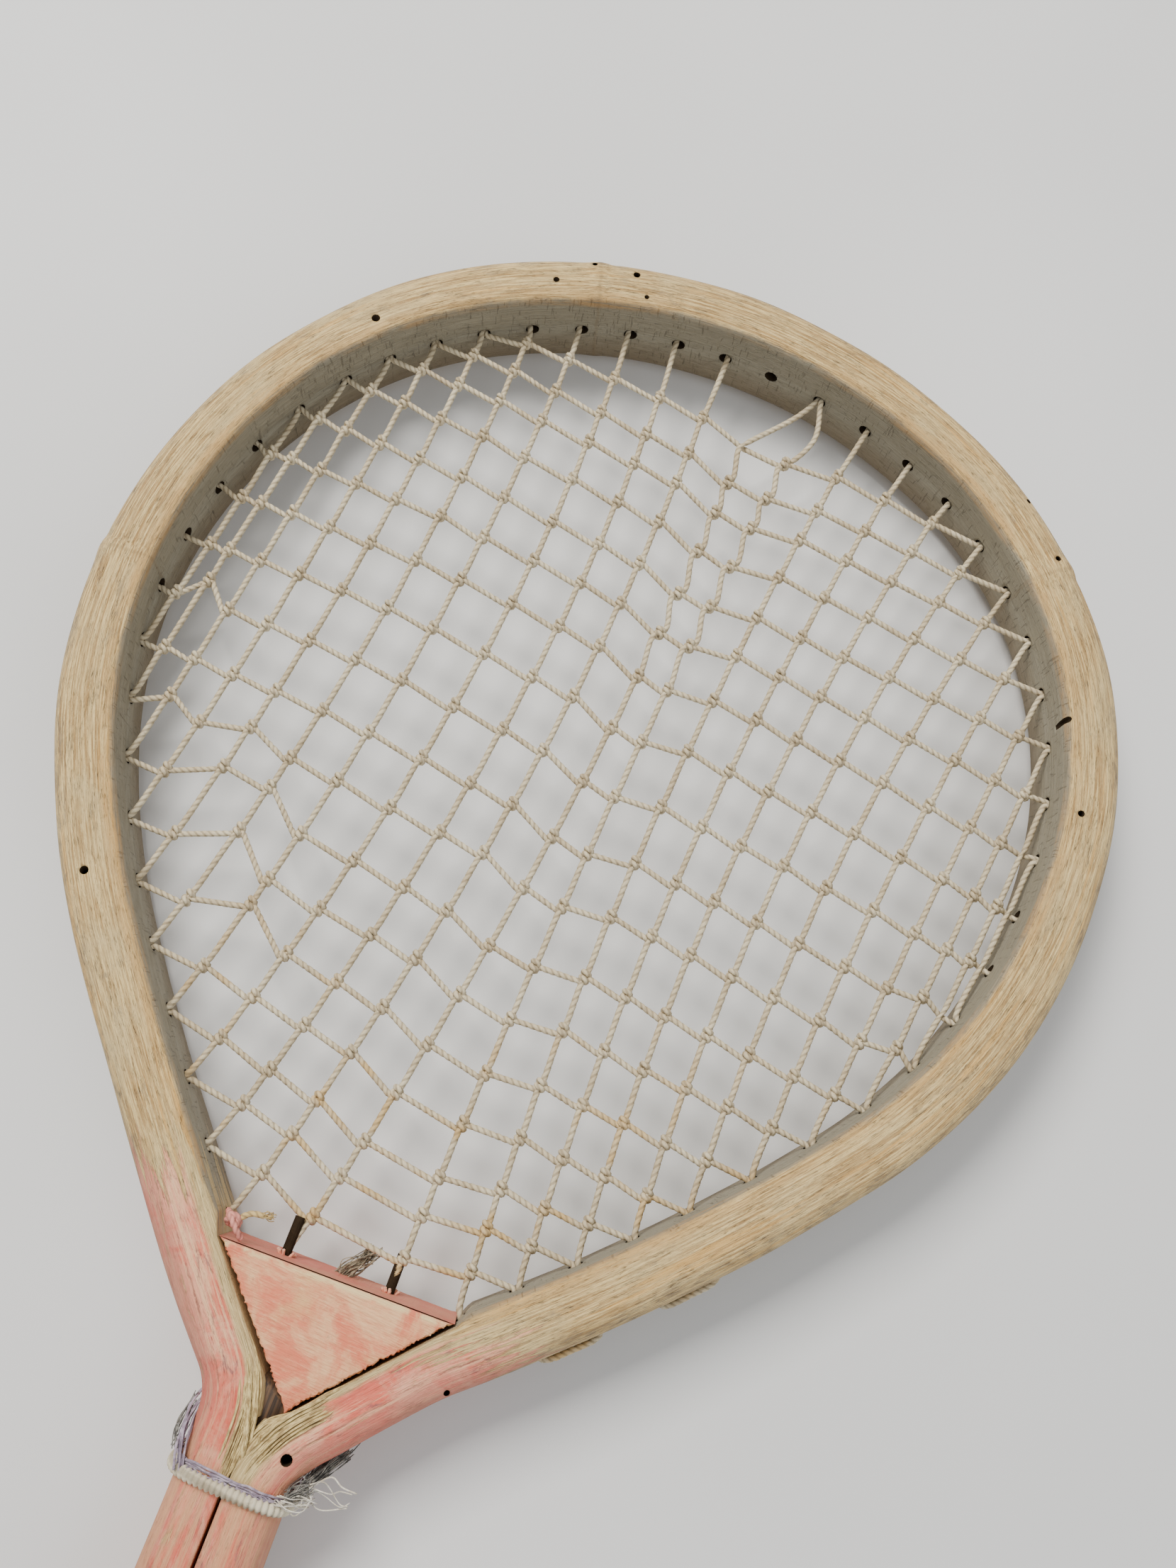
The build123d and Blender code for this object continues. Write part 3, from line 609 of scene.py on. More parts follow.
def caneRings():
    count = int((legEnds[1] - legEnds[0]) / cane["ringStep"])
    d = np.linspace(legEnds[0], legEnds[1], count)
    places, inwards = caneAt(d)
    y = places[:, 1]
    right = d >= 0
    inn = cane["inner"] - 0.12 + 0.12 * wave(d, 1.3, 17)
    out = cane["outer"] - outerTrim(y, right) - 0.2 + 0.2 * wave(d, 4.1, 23)
    deep = cane["halfDepth"] - 0.2 + 0.2 * wave(d, 2.2, 29)
    for node in cane["nodes"]:
        bulge = np.exp(-((d - node) / 2.6) ** 2) - 0.5 * np.exp(-((d - node - 2.6) / 1.2) ** 2)
        out, deep = out + 0.28 * bulge, deep + 0.25 * bulge
    section = sectionProfile()
    share, depth, na, nz = section.T
    radius = cane["innerCorner"] * share + cane["outerCorner"] * (1 - share)
    # the outer corners are hand-rounded, so their size wanders
    loose = cane["outerCorner"] * (1 + 0.12 * wave(d, 5.5, 31)[:, None])
    soft = np.where(share[None, :] == 0, loose, radius[None, :])
    a = share * (inn[:, None] - cane["innerCorner"]) - (1 - share) * (out[:, None] - loose) + soft * na
    z = depth * (deep[:, None] - soft) + soft * nz
    # long shallow furrows left by the drawknife and by drying
    turn = np.linspace(0, 2 * pi, len(section), endpoint=False)
    furrow = 0.05 * np.sin(5 * turn[None, :] + 2.2 * wave(d, 0.4, 60)[:, None])
    furrow = furrow + 0.045 * np.sin(11 * turn[None, :] + 3.0 * wave(d, 3.0, 45)[:, None])
    a, z = a + furrow * na, z + furrow * nz
    rings = places[:, None, :] + a[:, :, None] * inwards[:, None, :] + z[:, :, None] * up
    for arm in (True, False):
        mine = (right == arm) & (np.abs(d) > 200)
        rings[mine, :, 0], rings[mine, :, 1] = leanOn(rings[mine, :, 0], rings[mine, :, 1], arm)
    # the two legs are planed flat where they meet
    low = rings[:, :, 1] < 440
    rings[:, :, 0] = np.where(low & right[:, None], np.maximum(rings[:, :, 0], cane["legGap"]),
                              np.where(low & ~right[:, None], np.minimum(rings[:, :, 0], -cane["legGap"]),
                                       rings[:, :, 0]))
    return d, rings, a, z


def cylinderAt(centre, direction, radius, length, sides=14, taper=1.0):
    centre, direction = np.asarray(centre, float), np.asarray(direction, float)
    ends = [centre - direction * length / 2, centre + direction * length / 2]
    path = np.stack([ends[0], ends[0] * 0.5 + ends[1] * 0.5, ends[1]])
    along, sides3, backs = pathFrames(path)
    angle = np.linspace(0, 2 * pi, sides, endpoint=False)
    size = radius * np.array([1.0, (1 + taper) / 2, taper])
    rings = path[:, None, :] + size[:, None, None] * (np.cos(angle)[None, :, None] * sides3[:, None, :]
                                                      + np.sin(angle)[None, :, None] * backs[:, None, :])
    return tubeChunk(rings, np.zeros(3), np.linspace(0, 1, sides + 1))


def carve(piece, cutters, name):
    # takes the cutters' shapes out of a piece, and leaves no modifier behind; the cut walls take the near-black hole
    # colour, painted shade inside the hollows
    tool = buildPiece(name, cutters, [holeShade])
    cut = piece.modifiers.new("cut", "BOOLEAN")
    cut.operation, cut.object, cut.solver = "DIFFERENCE", tool, "EXACT"
    cut.material_mode = "TRANSFER"
    bpy.context.view_layer.objects.active = piece
    bpy.ops.object.modifier_apply(modifier="cut")
    bpy.data.objects.remove(tool)
    if not piece.data.vertices:
        raise RuntimeError(name + " cut the whole piece away")


# beetle holes: (x, y, height on the section, radius)
wormHoles = [(8.3, 435.7, 10.9, 1.05), (-67.9, 517.0, 10.9, 0.85), (-63.1, 650.6, 10.9, 0.95),
             (-29.9, 675.1, 10.9, 0.7), (-23.4, 682.5, 9.6, 0.6), (-13.7, 683.3, 9.6, 0.8),
             (-9.6, 678.6, 10.9, 0.55), (85.1, 662.7, 9.2, 0.6), (94.3, 651.1, 9.6, 0.65),
             (105.1, 616.1, 10.2, 0.7), (112.3, 596.9, 9.6, 0.7), (30.4, 454.1, 10.2, 0.6)]
bindings = {"dowels": (60.0, 330.0), "dowelRadius": 2.0, "nailRadius": 1.05}


def makeCane():
    d, rings, a, z = caneRings()
    side = np.stack([z / 10, np.zeros_like(z)], 2)
    chunk = tubeChunk(rings, d / 10, np.zeros(rings.shape[1] + 1), side=side)
    # the first map's second axis is the distance into the head
    flatA = (a / 10).ravel()
    chunk["uv"][:, :, 1] = flatA[chunk["quads"]]
    piece = buildPiece("cane_bow", [chunk], [caneSkin], second=True)
    grooves = []
    for first in range(1, cane["lastHole"] - 1, 2):
        start, end = (holeMouth(n, 0.1 - cane["outer"])[0] for n in (first, first + 1))
        length = np.linalg.norm(end - start)
        grooves.append(cylinderAt((start + end) / 2, (end - start) / length, 0.78, length + 0.45, 11))
    carve(piece, grooves, "gouge")
    holes = []
    for number in range(cane["lastHole"] + 1):
        centre, inward = holeMouth(number, 0)
        holes.append(cylinderAt(centre, inward, cane["holeRadius"], 15, 12))
    carve(piece, holes, "drill")
    worms = [cylinderAt((x, y, height), (0.1, 0.05, 0.99), radius, 11, 12) for x, y, height, radius in wormHoles]
    worms += [cylinderAt((0, y, 0), (1, 0, 0), bindings["dowelRadius"], 60, 20) for y in bindings["dowels"]]
    carve(piece, worms, "awl")
    return settle(piece, "cane", "cane_frame")


makeCane()


# The net
net = {
    "mainRadius": 0.67, "crossRadius": 0.62, "mainPitch": 3.3, "crossPitch": 2.8, "step": 0.34,
    "firstMain": -11, "lastMain": 10, "firstCross": -9, "lastCross": 8,
    "mainBows": [0.3, -0.4, 0.6, 2.1, 3.5, 5.0, 5.9, 8.1, 9.1, 8.1, 6.5,
                 -2.5, -5.6, -6.3, -7.1, -6.5, -5.2, -2.9, -0.7, 0.2, 0.5, 0.0],
    "crossBows": [-1.3, -1.6, -3.3, -1.9, -1.6, -0.9, -0.4, 1.6, 1.6,
                  2.4, 3.1, 3.1, 1.7, 0.1, -0.1, 0.6, 0.0, 2.4],
    "slackMains": (-1, 0), "slackDip": 2.4, "leftRise": 1.7, "emptyHole": 24,
    "slid": {(-10, 0): 5.0, (-9, -2): 3.0, (-7, -2): 3.0, (-7, -3): 5.5, (-6, -3): 5.5,
             (-6, -4): 6.0, (-5, -5): 5.0, (8, -1): 1.5, (8, -2): 2.0},
    "unhitched": {(-1, 8), (9, -1), (9, 2), (10, 0), (10, 1)},
    "wedgeTop": 465.0, "wedgeHoles": {-1: (-6.1, 1.0), 0: (14.2, -0.5)},
    "hitchReach": 0.66, "hitchSwell": 1.02, "squeeze": 0.6, "mouthShift": 0.55,
    # the hitch's turns round the main: (angle from its right, height up it)
    "turns": [(190, -1.05), (230, -1.0), (270, -0.9), (315, -0.8), (360, -0.7), (405, -0.55), (450, -0.5),
              (495, -0.4), (540, -0.2), (585, 0.0), (630, 0.15), (675, 0.3), (720, 0.45), (765, 0.6),
              (810, 0.7), (855, 0.75), (900, 0.75), (945, 0.6), (990, 0.35), (1035, 0.15), (1070, 0.1)],
}
mainNumbers = range(net["firstMain"], net["lastMain"] + 1)
crossNumbers = range(net["firstCross"], net["lastCross"] + 1)


def mainHoles(number):
    lower = None if number in net["wedgeHoles"] else (-2 - number if number < 0 else 48 - number)
    upper = 25 + number
    return lower, upper + 1 if upper == net["emptyHole"] else upper


def crossHoles(number):
    return 10 + number, 37 - number


def mainEnds(number):
    lower, upper = mainHoles(number)
    if lower is None:
        bottom = np.array([net["wedgeHoles"][number][0], net["wedgeTop"], 0.0])
    else:
        bottom = holeMouth(lower, cane["inner"])[0]
    return bottom, holeMouth(25 + number, cane["inner"])[0]


ends = {("main", n): mainEnds(n) for n in mainNumbers}
ends.update({("cross", n): tuple(holeMouth(h, cane["inner"])[0] for h in crossHoles(n)) for n in crossNumbers})


def mainPoint(number, share):
    bottom, top = ends["main", number]
    along = top - bottom
    side = np.array([along[1], -along[0], 0]) / np.linalg.norm(along)
    return bottom + along * share + side * (net["mainBows"][number - net["firstMain"]] * 4 * share * (1 - share))


def crossPoint(number, share, main):
    left, right = ends["cross", number]
    along = right - left
    rise = np.array([-along[1], along[0], 0]) / np.linalg.norm(along)
    lift = net["crossBows"][number - net["firstCross"]] * 4 * share * (1 - share)
    lift += net["leftRise"] * max(0, 1 - abs(main + 6) / 5)
    if main in net["slackMains"]:
        lift -= net["slackDip"]
    return left + along * share + rise * lift


def doCross(main, cross):
    lower = mainHoles(main)[0]
    upper = 25 + main
    left, right = crossHoles(cross)
    if lower is None:
        return True
    return lower < left < upper if main < 0 else upper < right < lower


def crossing(main, cross):
    u = v = 0.5
    a, b = ends["main", main][1] - ends["main", main][0], ends["cross", cross][1] - ends["cross", cross][0]
    area = a[0] * b[1] - a[1] * b[0]
    for attempt in range(40):
        gap = crossPoint(cross, v, main) - mainPoint(main, u)
        u += (gap[0] * b[1] - gap[1] * b[0]) / area
        v += (gap[0] * a[1] - gap[1] * a[0]) / area
    return mainPoint(main, u + net["slid"].get((main, cross), 0.0) / np.linalg.norm(a))


knots = {(m, c): crossing(m, c) for m in mainNumbers for c in crossNumbers if doCross(m, c)}
draw = np.random.default_rng(23)


def knotFrame(main, cross):
    # up the main, and to the right of it, at a knot
    line = [knots[main, c] for c in crossNumbers if (main, c) in knots]
    line = [ends["main", main][0]] + line + [ends["main", main][1]]
    at = next(n for n, p in enumerate(line) if p is knots[main, cross])
    rise = line[at + 1] - line[at - 1]
    rise = np.array([rise[0], rise[1], 0]) / math.hypot(rise[0], rise[1])
    return rise, np.array([rise[1], -rise[0], 0])


def intoHole(number, height, towards):
    # a cord leaves its hole on the side it runs to
    mouth, inward = holeMouth(number, cane["inner"])
    along = np.array([inward[1], -inward[0], 0])
    side = along * math.copysign(net["mouthShift"], (towards - mouth) @ along) + up * height
    return [mouth + inward * 0.15 + side, mouth - inward * 0.8 + side * 0.85, mouth - inward * 5.5 + side * 0.5]


def mainRoute(number):
    lower, upper = mainHoles(number)
    slack = number in net["slackMains"]
    points = []
    if lower is None:
        x, z = net["wedgeHoles"][number]
        points += [np.array([x, net["wedgeTop"] - 7, z]), np.array([x, net["wedgeTop"], z])]
    else:
        points += intoHole(lower, 0.25, ends["main", number][1])[::-1]
    kinks = []
    for c in crossNumbers:
        if (number, c) not in knots:
            continue
        rise, right = knotFrame(number, c)
        # the hitch pulls the main into a small S
        pull = 0.12 + 0.1 * draw.random()
        high = knots[number, c][1] > 600
        if slack and high:
            pull = 0.7 + 0.5 * draw.random()
        jog = up * 0.12 * draw.standard_normal()
        points += [knots[number, c] - rise * 1.05 - right * pull * 0.8 + jog,
                   knots[number, c] + rise * 1.05 + right * pull * 0.8 + jog]
        kinks.append(knots[number, c])
    height = -0.5 if upper != 25 + number else 0.25
    if slack:
        top = holeMouth(upper, cane["inner"])[0]
        last = points[-1]
        across = 0.5 * (last + top)
        sag = np.array([2.2, 2.8, -1.2]) if number == net["slackMains"][0] else np.array([2.6, -1.6, 0.8])
        points += [across + sag]
    points += intoHole(upper, height, points[-1])
    return points, kinks


def crossRoute(number):
    left, right = crossHoles(number)
    leftMouth, rightMouth = ends["cross", number]
    runs, hitches = [intoHole(left, -0.3, rightMouth)[::-1]], []
    for m in [m for m in mainNumbers if (m, number) in knots]:
        knot = knots[m, number]
        rise, side = knotFrame(m, number)
        if (m, number) in net["unhitched"]:
            runs.append([knot - up * (net["mainRadius"] + net["crossRadius"])])
            continue
        # in behind the main, twice round it, and out to the right behind it
        size = 1.1 + 0.1 * draw.standard_normal()
        lean = draw.normal(0, 0.1)
        turns = []
        for angle, height in net["turns"]:
            turn = radians(angle)
            reach = net["hitchReach"] * (1.0 + 0.03 * draw.standard_normal())
            turns.append(knot + side * reach * cos(turn) + up * reach * sin(turn) + rise * (height * size + lean))
        runs.append(turns)
        hitches.append(knot)
    runs.append(intoHole(right, -0.3, leftMouth))
    points = list(runs[0])
    for run in runs[1:]:
        # the cord runs straight from one hitch to the next
        gap = run[0] - points[-1]
        if np.linalg.norm(gap) > 3:
            points += [points[-1] + gap * 0.16, points[-1] + gap * 0.84]
        points += run
    return points, hitches


def cordRadius(path, kinks, radius, tight, reach):
    # the cord is drawn thinner close to each knot
    size = np.full(len(path), radius)
    for knot in kinks:
        near = np.exp(-(np.linalg.norm(path - knot, axis=1) / reach) ** 2)
        size = np.minimum(size, radius * (1 - (1 - tight) * near))
    return size


def makeNet():
    for count, number in enumerate(mainNumbers, 1):
        points, kinks = mainRoute(number)
        path = smoothPath(points, net["step"])
        size = cordRadius(path, kinks, net["mainRadius"], net["squeeze"], 0.9)
        size = size * (1 + 0.04 * wave(np.arange(len(path)) * net["step"], number, 6))
        piece = buildPiece(f"main_cord_{count:02d}", [cordChunk(path, size, net["mainPitch"], turn=number)], [netCord])
        settle(piece, "net_cord", f"main_string_{count:02d}")
    for count, number in enumerate(crossNumbers, 1):
        points, kinks = crossRoute(number)
        path = smoothPath(points, net["step"])
        size = cordRadius(path, kinks, net["crossRadius"], net["hitchSwell"], 1.6)
        size = size * (1 + 0.04 * wave(np.arange(len(path)) * net["step"], number + 0.5, 5))
        piece = buildPiece(f"cross_cord_{count:02d}", [cordChunk(path, size, net["crossPitch"], turn=number)], [netCord])
        settle(piece, "net_cord", f"cross_string_{count:02d}")


makeNet()
print("net knotted:", len(knots), "crossings")


# The net's loops on the outside
loops = {"proud": (43, 45), "lift": 0.9, "sunk": -0.45}


def makeOuterLoops():
    chunks = []
    for first in range(1, cane["lastHole"] - 1, 2):
        proud = loops["lift"] if first in loops["proud"] else loops["sunk"]
        start, startIn = holeMouth(first, -cane["outer"] - proud)
        end, endIn = holeMouth(first + 1, -cane["outer"] - proud)
        middle, middleIn = (start + end) / 2, (startIn + endIn) / 2
        points = [start + startIn * 5, start + startIn * 0.8, start + (end - start) * 0.1,
                  middle - middleIn * 0.15, end - (end - start) * 0.1, end + endIn * 0.8, end + endIn * 5]
        chunks.append(cordChunk(smoothPath(points, net["step"]), net["crossRadius"], net["crossPitch"], turn=first))
    return settle(buildPiece("outer_cord_loops", chunks, [netCord]), "net_cord", "outer_loops")


makeOuterLoops()


# The wedge
def makeWedge():
    # a sawn triangle whose two lower sides are torn where the saw ran across the grain
    shake = np.random.default_rng(5)
    corners = [np.array(corner) for corner in wedge["sawn"]]
    outline, inwards, torn = [], [], []
    for n, (start, end) in enumerate(zip(corners, corners[1:] + corners[:1])):
        length = np.linalg.norm(end - start)
        along = (end - start) / length
        for share in np.arange(0, length, wedge["sawStep"]) / length:
            outline.append(start + (end - start) * share)
            inwards.append(np.array([-along[1], along[0]]))
            ends2 = min(share, 1 - share) * length
            torn.append((0.05 if n == 1 else wedge["rough"]) * min(1.0, ends2 / 1.5))
    outline, inwards, torn = np.array(outline), np.array(inwards), np.array(torn)
    ragged = np.convolve(np.abs(shake.normal(0, 1, len(torn) + 2)), [0.3, 0.4, 0.3], "valid")
    rings = []
    for z, pull in ((-9.0, 0.4), (-8.7, 0.1), (-4.5, 0), (0, 0), (4.5, 0), (8.3, 0.0), (8.8, 0.1), (9.0, 0.3)):
        tear = torn * np.clip(0.6 * ragged + 0.5 * np.abs(shake.normal(0, 1, len(torn))), 0, 1.8)
        rings.append(np.c_[outline + inwards * (pull * np.minimum(1, torn * 8) + tear)[:, None],
                           np.full(len(outline), z)])
    wood = paintedWood("wedgeWood", rgb(240, 186, 136), rgb(230, 126, 92), turn=radians(4))
    piece = buildPiece("wedge_block", [tubeChunk(rings, np.arange(8), np.linspace(0, 1, len(outline) + 1))], [wood])
    holes = [cylinderAt((x, wedge["top"], z), (0, 1, 0), wedge["holeRadius"], 14, 14)
             for x, z in net["wedgeHoles"].values()]
    carve(piece, holes, "awl")
    piece.data.polygons.foreach_set("use_smooth", np.zeros(len(piece.data.polygons), bool))
    return settle(piece, "wedge_wood", "throat_wedge")


makeWedge()
print("wedge cut")


# Bindings
legs = {"left": -9.6, "right": 10.35, "halfDepth": 10.9, "corner": 5.2}


def aroundLegs(angle, grow, left=None, right=None):
    # a point on a rounded rectangle round both legs, by its angle
    left = legs["left"] if left is None else left
    right = legs["right"] if right is None else right
    middle, halfWide = (left + right) / 2, (right - left) / 2
    corner = legs["corner"]
    boxX, boxZ = halfWide - corner, legs["halfDepth"] - corner
    cx, sz = np.cos(angle), np.sin(angle)
    # superellipse-like reach that is exact enough for a cord pulled round the legs
    power = 4.0
    reach = (np.abs(cx / (halfWide + grow)) ** power + np.abs(sz / (legs["halfDepth"] + grow)) ** power) ** (-1 / power)
    return middle + cx * reach, sz * reach


neck = {"y": 427.6, "tilt": 1.5, "bandRadius": 1.05, "rib": 1.02, "ribDeep": 0.2}


def windingPath(y, turns, pitch, grow, tilt=0.0, start=0.0, left=None, right=None, steps=60):
    angle = start + np.linspace(0, 2 * pi * turns, int(steps * turns) + 1)
    x, z = aroundLegs(angle, grow, left, right)
    height = y + pitch * (angle - start) / (2 * pi) - np.tan(radians(tilt)) * x
    return np.stack([x, height, z], 1)


def makeNeckBand():
    # one thick gimp cord round both legs, ribbed by its close binding
    s = cordMaterial("bandCord", rgb(216, 206, 180), rgb(190, 176, 148), rgb(112, 98, 78))
    path = smoothPath(windingPath(neck["y"], 1.04, 0.9, 0.8, neck["tilt"], start=radians(200)), 0.14)
    along = np.arange(len(path)) * 0.14
    ribs = neck["bandRadius"] * (1 + neck["ribDeep"] * (np.abs(np.cos(pi * along / neck["rib"])) * 2 - 1.3))
    round12 = np.ones(12)
    chunk = cordChunk(path, ribs, 60.0, plies=round12)
    return settle(buildPiece("neck_braid", [chunk], [s]), "band_cord", "neck_band")


def hairs(draw, roots, tips, count, thick, curl, spread=0.5):
    # loose fibres from one place to another, each with its own bend
    chunks = []
    for n in range(count):
        start = np.array(roots) + draw.normal(0, spread, 3)
        end = np.array(tips) + draw.normal(0, spread * 1.7, 3)
        bend = draw.normal(0, curl, 3)
        twist = draw.normal(0, curl * 0.6, 3)
        points = [start, start * 0.66 + end * 0.34 + bend, start * 0.33 + end * 0.67 + bend * 0.6 + twist, end]
        chunks.append(cordChunk(smoothPath(points, 0.5), thick * (0.7 + 0.6 * draw.random()), 50.0, plies=np.ones(4)))
    return chunks


def makeNeckYarn():
    # thin matted wool above the band, a twist of it up the left side, and frayed ends on the right
    yarn = fluffMaterial("neckYarnWool", rgb(178, 164, 176), rgb(128, 112, 126))
    dull = fluffMaterial("greyWool", rgb(138, 134, 124), rgb(58, 56, 52))
    draw = np.random.default_rng(31)
    wool, grey = [], []
    for strand in range(9):
        y = neck["y"] + 1.25 + 0.15 * strand
        path = windingPath(y, 1.02, 0.2, 0.35 + 0.6 * draw.random(), neck["tilt"] + draw.normal(0, 1.2),
                           start=draw.random() * 6, steps=44)
        path = path + draw.normal(0, 0.2, path.shape)
        wool.append(cordChunk(smoothPath(path, 0.45), 0.15 + 0.1 * draw.random(), 1.6, plies=np.array([1, 0.8] * 3)))
    for strand in range(6):
        lift = draw.normal(0, 0.35, 3)
        points = [(-8.4, 428.7, 11.2), (-9.4, 431.5, 10.4), (-10.2, 434.2, 8.6), (-11.0, 437.0, 5.5), (-10.4, 439.5, 2.0)]
        points = [np.array(p) + lift + draw.normal(0, 0.3, 3) for p in points]
        wool.append(cordChunk(smoothPath(points, 0.4), 0.17 + 0.1 * draw.random(), 1.6, plies=np.array([1, 0.8] * 3)))
    grey += hairs(draw, (-10.6, 431.0, 8.0), (-10.9, 438.0, 4.0), 22, 0.08, 0.6, 0.4)
    grey += hairs(draw, (12.2, 431.6, 7.5), (16.8, 438.6, 3.5), 150, 0.09, 0.3, 0.42)
    grey += hairs(draw, (10.6, 430.6, 10.8), (13.4, 432.6, 8.6), 50, 0.08, 0.4, 0.4)
    pale = hairs(draw, (13.5, 432.6, 9.0), (20.6, 431.6, 6.0), 5, 0.14, 1.6, 0.4)
    pale += hairs(draw, (9.6, 429.6, 11.2), (14.5, 430.6, 8.0), 16, 0.11, 0.9, 0.5)
    settle(buildPiece("neck_fringe", grey, [dull]), "yarn")
    settle(buildPiece("neck_threads", pale, [fluffMaterial("paleThread", rgb(226, 220, 204), rgb(188, 178, 156))]), "yarn")
    return settle(buildPiece("neck_wool", wool, [yarn]), "yarn", "neck_yarn")


fibres = {"right": (336.0, 364.0), "left": (316.0, 342.0), "strands": {"right": 15, "left": 10}, "spacing": 0.36, "lift": 0.12}


def makeSplitFibres():
    # the cane has split into straws where it was bent hardest
    skin = s = Shader("splitStraw", 0.8, 0.25)
    uv = s.uv("along")
    streak = s.noise(s.scaled(uv, (2.0, 3.0, 1.0)), 3.0, 5.0, 0.7)
    tint = s.noise(s.objectPlace(1000.0), 0.5, 4.0, 0.6)
    colour = s.mix(s.ramp(streak, 0.35, 0.65), rgb(132, 106, 62), rgb(224, 200, 140))
    colour = s.mix(s.ramp(tint, 0.5, 0.66, 0.0, 0.6), colour, rgb(120, 94, 60))
    straw = s.finish(colour, streak, 0.0001, 0.5)
    draw = np.random.default_rng(77)
    chunks = []
    flatStraw = np.array([1.0, 0.72, 0.42, 0.72, 1.0, 0.72, 0.42, 0.72])
    for side in ("right", "left"):
        first, last = fibres[side]
        sign = 1 if side == "right" else -1
        for n in range(fibres["strands"][side]):
            depth = fibres["spacing"] * n + draw.normal(0, 0.12)
            start = first + 3.5 * draw.random() + 0.35 * n
            stop = last - 4.0 * draw.random() - 0.3 * n
            d = np.linspace(start, stop, 8) * sign
            places, inwards = caneAt(d)
            line = places + inwards * (cane["inner"] - 0.5 - depth)
            x, y = leanOn(line[:, 0], line[:, 1], side == "right")
            x = np.maximum(x, 0.7) if side == "right" else np.minimum(x, -0.2 + 0.15 * np.maximum(0, y - 430))
            lift = fibres["lift"] + 0.35 * draw.random() + 0.15 * np.sin(np.linspace(0, pi, 8)) * draw.random()
            z = cane["halfDepth"] - 0.35 + lift - 0.75 * math.exp(-max(depth, 0) / 0.5)
            z = z - 0.8 * np.linspace(1, 0, 8) ** 6 - 0.8 * np.linspace(0, 1, 8) ** 6
            path = smoothPath(np.stack([x, y, z * np.ones(8)], 1) + draw.normal(0, 0.06, (8, 3)), 0.5)
            size = (0.2 + 0.16 * draw.random()) * np.clip(np.minimum(np.linspace(0, 8, len(path)), np.linspace(8, 0, len(path))), 0.15, 1)
            chunks.append(cordChunk(path, size, 400.0, plies=flatStraw, turn=draw.random()))
    # a dark block behind them stands in for the shade between the straws: painted shade
    pith = np.array([(-2.6, 447.0), (0.2, 434.0), (1.6, 434.0), (5.0, 440.6), (5.6, 442.6), (2.0, 445.5)])
    pithRings = [np.c_[pith + (pith.mean(0) - pith) * share, np.full(len(pith), z)]
                 for z, share in ((-8.8, 0.1), (-8, 0.0), (8.0, 0.0), (8.7, 0.25))]
    settle(buildPiece("shade_behind_straws", [tubeChunk(pithRings, np.arange(4), np.linspace(0, 1, len(pith) + 1))],
                      [plainWood("strawShadePainted", rgb(92, 66, 42), rgb(44, 32, 22))]), "cane")
    # a broad sliver lifted off the left leg, and stubs snapped off below the tip
    for points, wide in (([(-3.6, 446.6, 10.2), (-1.6, 442.0, 11.0), (0.2, 437.0, 10.9), (1.0, 432.5, 10.4)], 0.75),
                         ([(-2.0, 446.0, 10.0), (0.4, 440.5, 10.6), (1.4, 435.0, 10.4)], 0.5),
                         ([(1.6, 436.5, 9.8), (3.0, 438.6, 10.6), (4.4, 439.9, 10.0)], 0.5),
                         ([(1.9, 435.2, 10.2), (2.7, 436.9, 11.0), (2.5, 438.0, 11.1)], 0.42)):
        path = smoothPath(points, 0.4)
        size = wide * np.clip(np.minimum(np.linspace(0.5, 5, len(path)), np.linspace(5, 0.4, len(path))), 0.3, 1)
        chunks.append(cordChunk(path, size, 400.0, plies=flatStraw, turn=0.4))
    return settle(buildPiece("split_straws", chunks, [straw]), "cane")


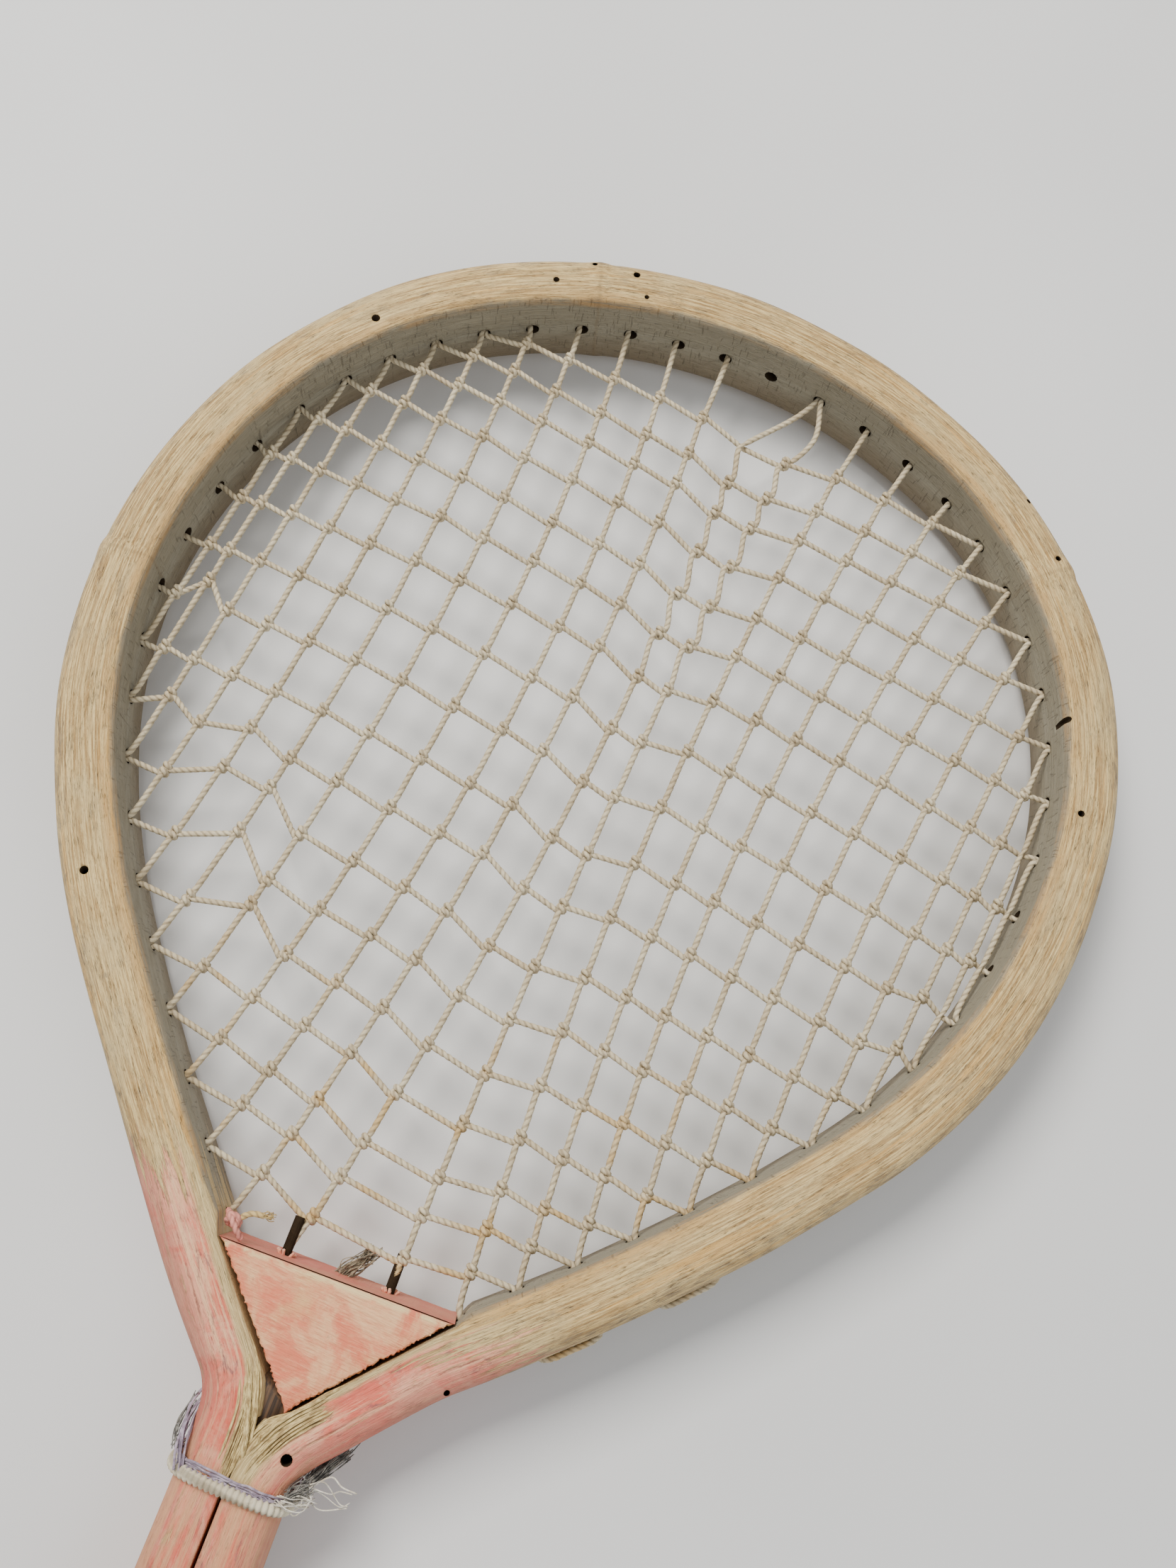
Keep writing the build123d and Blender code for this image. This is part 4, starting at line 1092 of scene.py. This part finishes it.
def makeCornerKnot():
    # the net cord's end, knotted at the wedge's left corner and painted over with it
    pink = cordMaterial("paintedCord", rgb(232, 164, 146), rgb(214, 128, 112), rgb(150, 88, 78))
    tan = cordMaterial("cutCord", rgb(214, 186, 128), rgb(184, 152, 98), rgb(112, 88, 58))
    turn = np.linspace(0, 2 * pi * 1.9, 26)
    ring = np.stack([-16.4 + 1.1 * np.cos(turn), 467.4 + 0.75 * np.sin(turn) + 0.12 * turn, 7.6 + 1.0 * np.sin(turn)], 1)
    over = smoothPath([(-18.2, 469.2, 6.0), (-16.8, 468.6, 9.0), (-15.0, 466.8, 9.2), (-13.8, 465.6, 8.0)], 0.3)
    settle(buildPiece("corner_knot", [cordChunk(smoothPath(ring, 0.3), 0.62, 2.6), cordChunk(over, 0.6, 2.6)], [pink]),
           "net_cord")
    end = [cordChunk(smoothPath([(-15.6, 468.6, 7.8), (-13.8, 470.2, 8.2), (-11.4, 470.6, 8.0)], 0.3), 0.58, 2.4)]
    draw = np.random.default_rng(9)
    end += hairs(draw, (-11.6, 470.6, 8.0), (-9.9, 471.1, 8.0), 18, 0.09, 0.25, 0.25)
    tuft = hairs(draw, (4.4, 463.8, -3.0), (8.6, 470.2, -2.0), 60, 0.12, 0.7, 0.45)
    settle(buildPiece("corner_cord_end", end, [tan]), "net_cord")
    # splinters stand round the two holes in the wedge's top
    chips = []
    for x, z in net["wedgeHoles"].values():
        for n in range(9):
            angle = draw.random() * 2 * pi
            root = np.array([x + cos(angle) * 1.0, wedge["top"] - 0.3, z + sin(angle) * 1.0])
            tip = root + np.array([cos(angle) * 0.9, 0.7 + 0.5 * draw.random(), sin(angle) * 0.9])
            chips.append(cordChunk(smoothPath([root, (root + tip) / 2, tip], 0.3), np.linspace(0.3, 0.08, 8)[:1].repeat(
                len(smoothPath([root, (root + tip) / 2, tip], 0.3))), 30.0, plies=np.ones(5)))
    settle(buildPiece("hole_splinters", chips, [fluffMaterial("splinterWood", rgb(236, 176, 142), rgb(206, 132, 104))]), "wedge_wood")
    return settle(buildPiece("cord_tuft", tuft, [fluffMaterial("tuftFibre", rgb(176, 164, 136), rgb(96, 86, 68))]), "net_cord")


makeSplitFibres()
makeCornerKnot()
makeNeckBand()
makeNeckYarn()

grip = {"bottom": 15.0, "top": 165.0, "pitch": 19.0, "thick": 1.1, "lap": 0.7}
tie = {"radius": 0.8, "turns": 3, "pitch": 1.55}


def makeGrip():
    # a leather strip wound up the handle, each turn lapping the last
    ys = np.arange(grip["bottom"], grip["top"], 0.55)
    angle = np.linspace(0, 2 * pi, 56, endpoint=False)
    rings = []
    for y in ys:
        phase = (y / grip["pitch"] + angle / (2 * pi)) % 1.0
        lap = grip["lap"] * smoothStep(0.0, 0.06, phase) * (1 - 0.75 * phase)
        x, z = aroundLegs(angle, grip["thick"] + 0.15 + lap, legs["left"] - 1.3, legs["right"] + 0.35)
        rings.append(np.stack([x, np.full_like(x, y), z], 1))
    piece = buildPiece("grip_leather_strip", [tubeChunk(rings, ys / 10, np.linspace(0, 1, 57))], [leatherMaterial()])
    return settle(piece, "grip_leather", "grip_wrap")


def makeTie(name, node, y):
    cordSkin = cordMaterial(name + "Skin", rgb(196, 186, 160), rgb(164, 150, 124), rgb(88, 76, 58))
    path = windingPath(y, tie["turns"], tie["pitch"], 2.0, left=legs["left"] - 1.3, right=legs["right"] + 0.35)
    chunk = cordChunk(smoothPath(path, 0.4), tie["radius"], 2.6)
    return settle(buildPiece(name, [chunk], [cordSkin]), "tie_cord", node)


makeGrip()
makeTie("top_tie_cord", "grip_top_tie", 165.3)
makeTie("butt_tie_cord", "grip_butt_tie", 10.3)

for node, material in (("butt_cap", plainWood("capWood", rgb(150, 108, 70), rgb(112, 76, 48))),
                       ("leg_dowels", plainWood("dowelWood", rgb(176, 146, 100), rgb(132, 104, 70))),
                       ("butt_nails", brassMaterial())):
    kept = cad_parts[node]
    kept.data.materials.clear()
    kept.data.materials.append(material)
print("bindings wound")


# Floor, light and camera
studio = {"floorSize": 6.0, "world": 0.6}


def makeFloor():
    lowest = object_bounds()[0][2]
    bpy.ops.mesh.primitive_plane_add(size=studio["floorSize"], location=(0, 0.4, lowest))
    floor = bpy.context.object
    floor.name = "floor"
    bpy.ops.object.transform_apply(location=True, rotation=True, scale=True)
    floor.data.materials.append(floorMaterial())


def makeLight(name, place, aim, size, power, colour):
    light = bpy.data.lights.new(name, "AREA")
    light.shape, light.size, light.energy, light.color = "SQUARE", size, power, colour
    lamp = bpy.data.objects.new(name, light)
    lamp.location = place
    lamp.rotation_euler = (Vector(aim) - Vector(place)).to_track_quat("-Z", "Y").to_euler()
    bpy.context.scene.collection.objects.link(lamp)


def makeCamera():
    lens = bpy.data.cameras.new("camera")
    lens.sensor_width, lens.lens, lens.clip_start = 36.0, 29.65, 0.01
    eye = bpy.data.objects.new("camera", lens)
    right, rise, back = Vector((0.9394, 0.3353, 0.0717)), Vector((-0.3418, 0.899, 0.274)), Vector((0.0274, -0.2819, 0.9591))
    turn = Matrix((right, rise, back)).transposed().to_4x4()
    eye.matrix_world = Matrix.Translation(Vector((23.2, 494.6, 257.4)) * mm) @ turn
    bpy.context.scene.collection.objects.link(eye)
    bpy.context.scene.camera = eye


makeFloor()
makeLight("keyLight", (-0.55, 1.05, 1.1), (0.0, 0.5, 0), 0.55, 26.0, (1.0, 0.98, 0.95))
makeLight("fillLight", (0.9, 0.1, 0.9), (0.0, 0.5, 0), 0.9, 6.0, (0.94, 0.97, 1.0))
world = bpy.data.worlds.new("studio")
bpy.context.scene.world = world
world.use_nodes = True
world.node_tree.nodes["Background"].inputs["Color"].default_value = (0.92, 0.95, 1.0, 1)
world.node_tree.nodes["Background"].inputs["Strength"].default_value = studio["world"]
makeCamera()

print("racket finished")
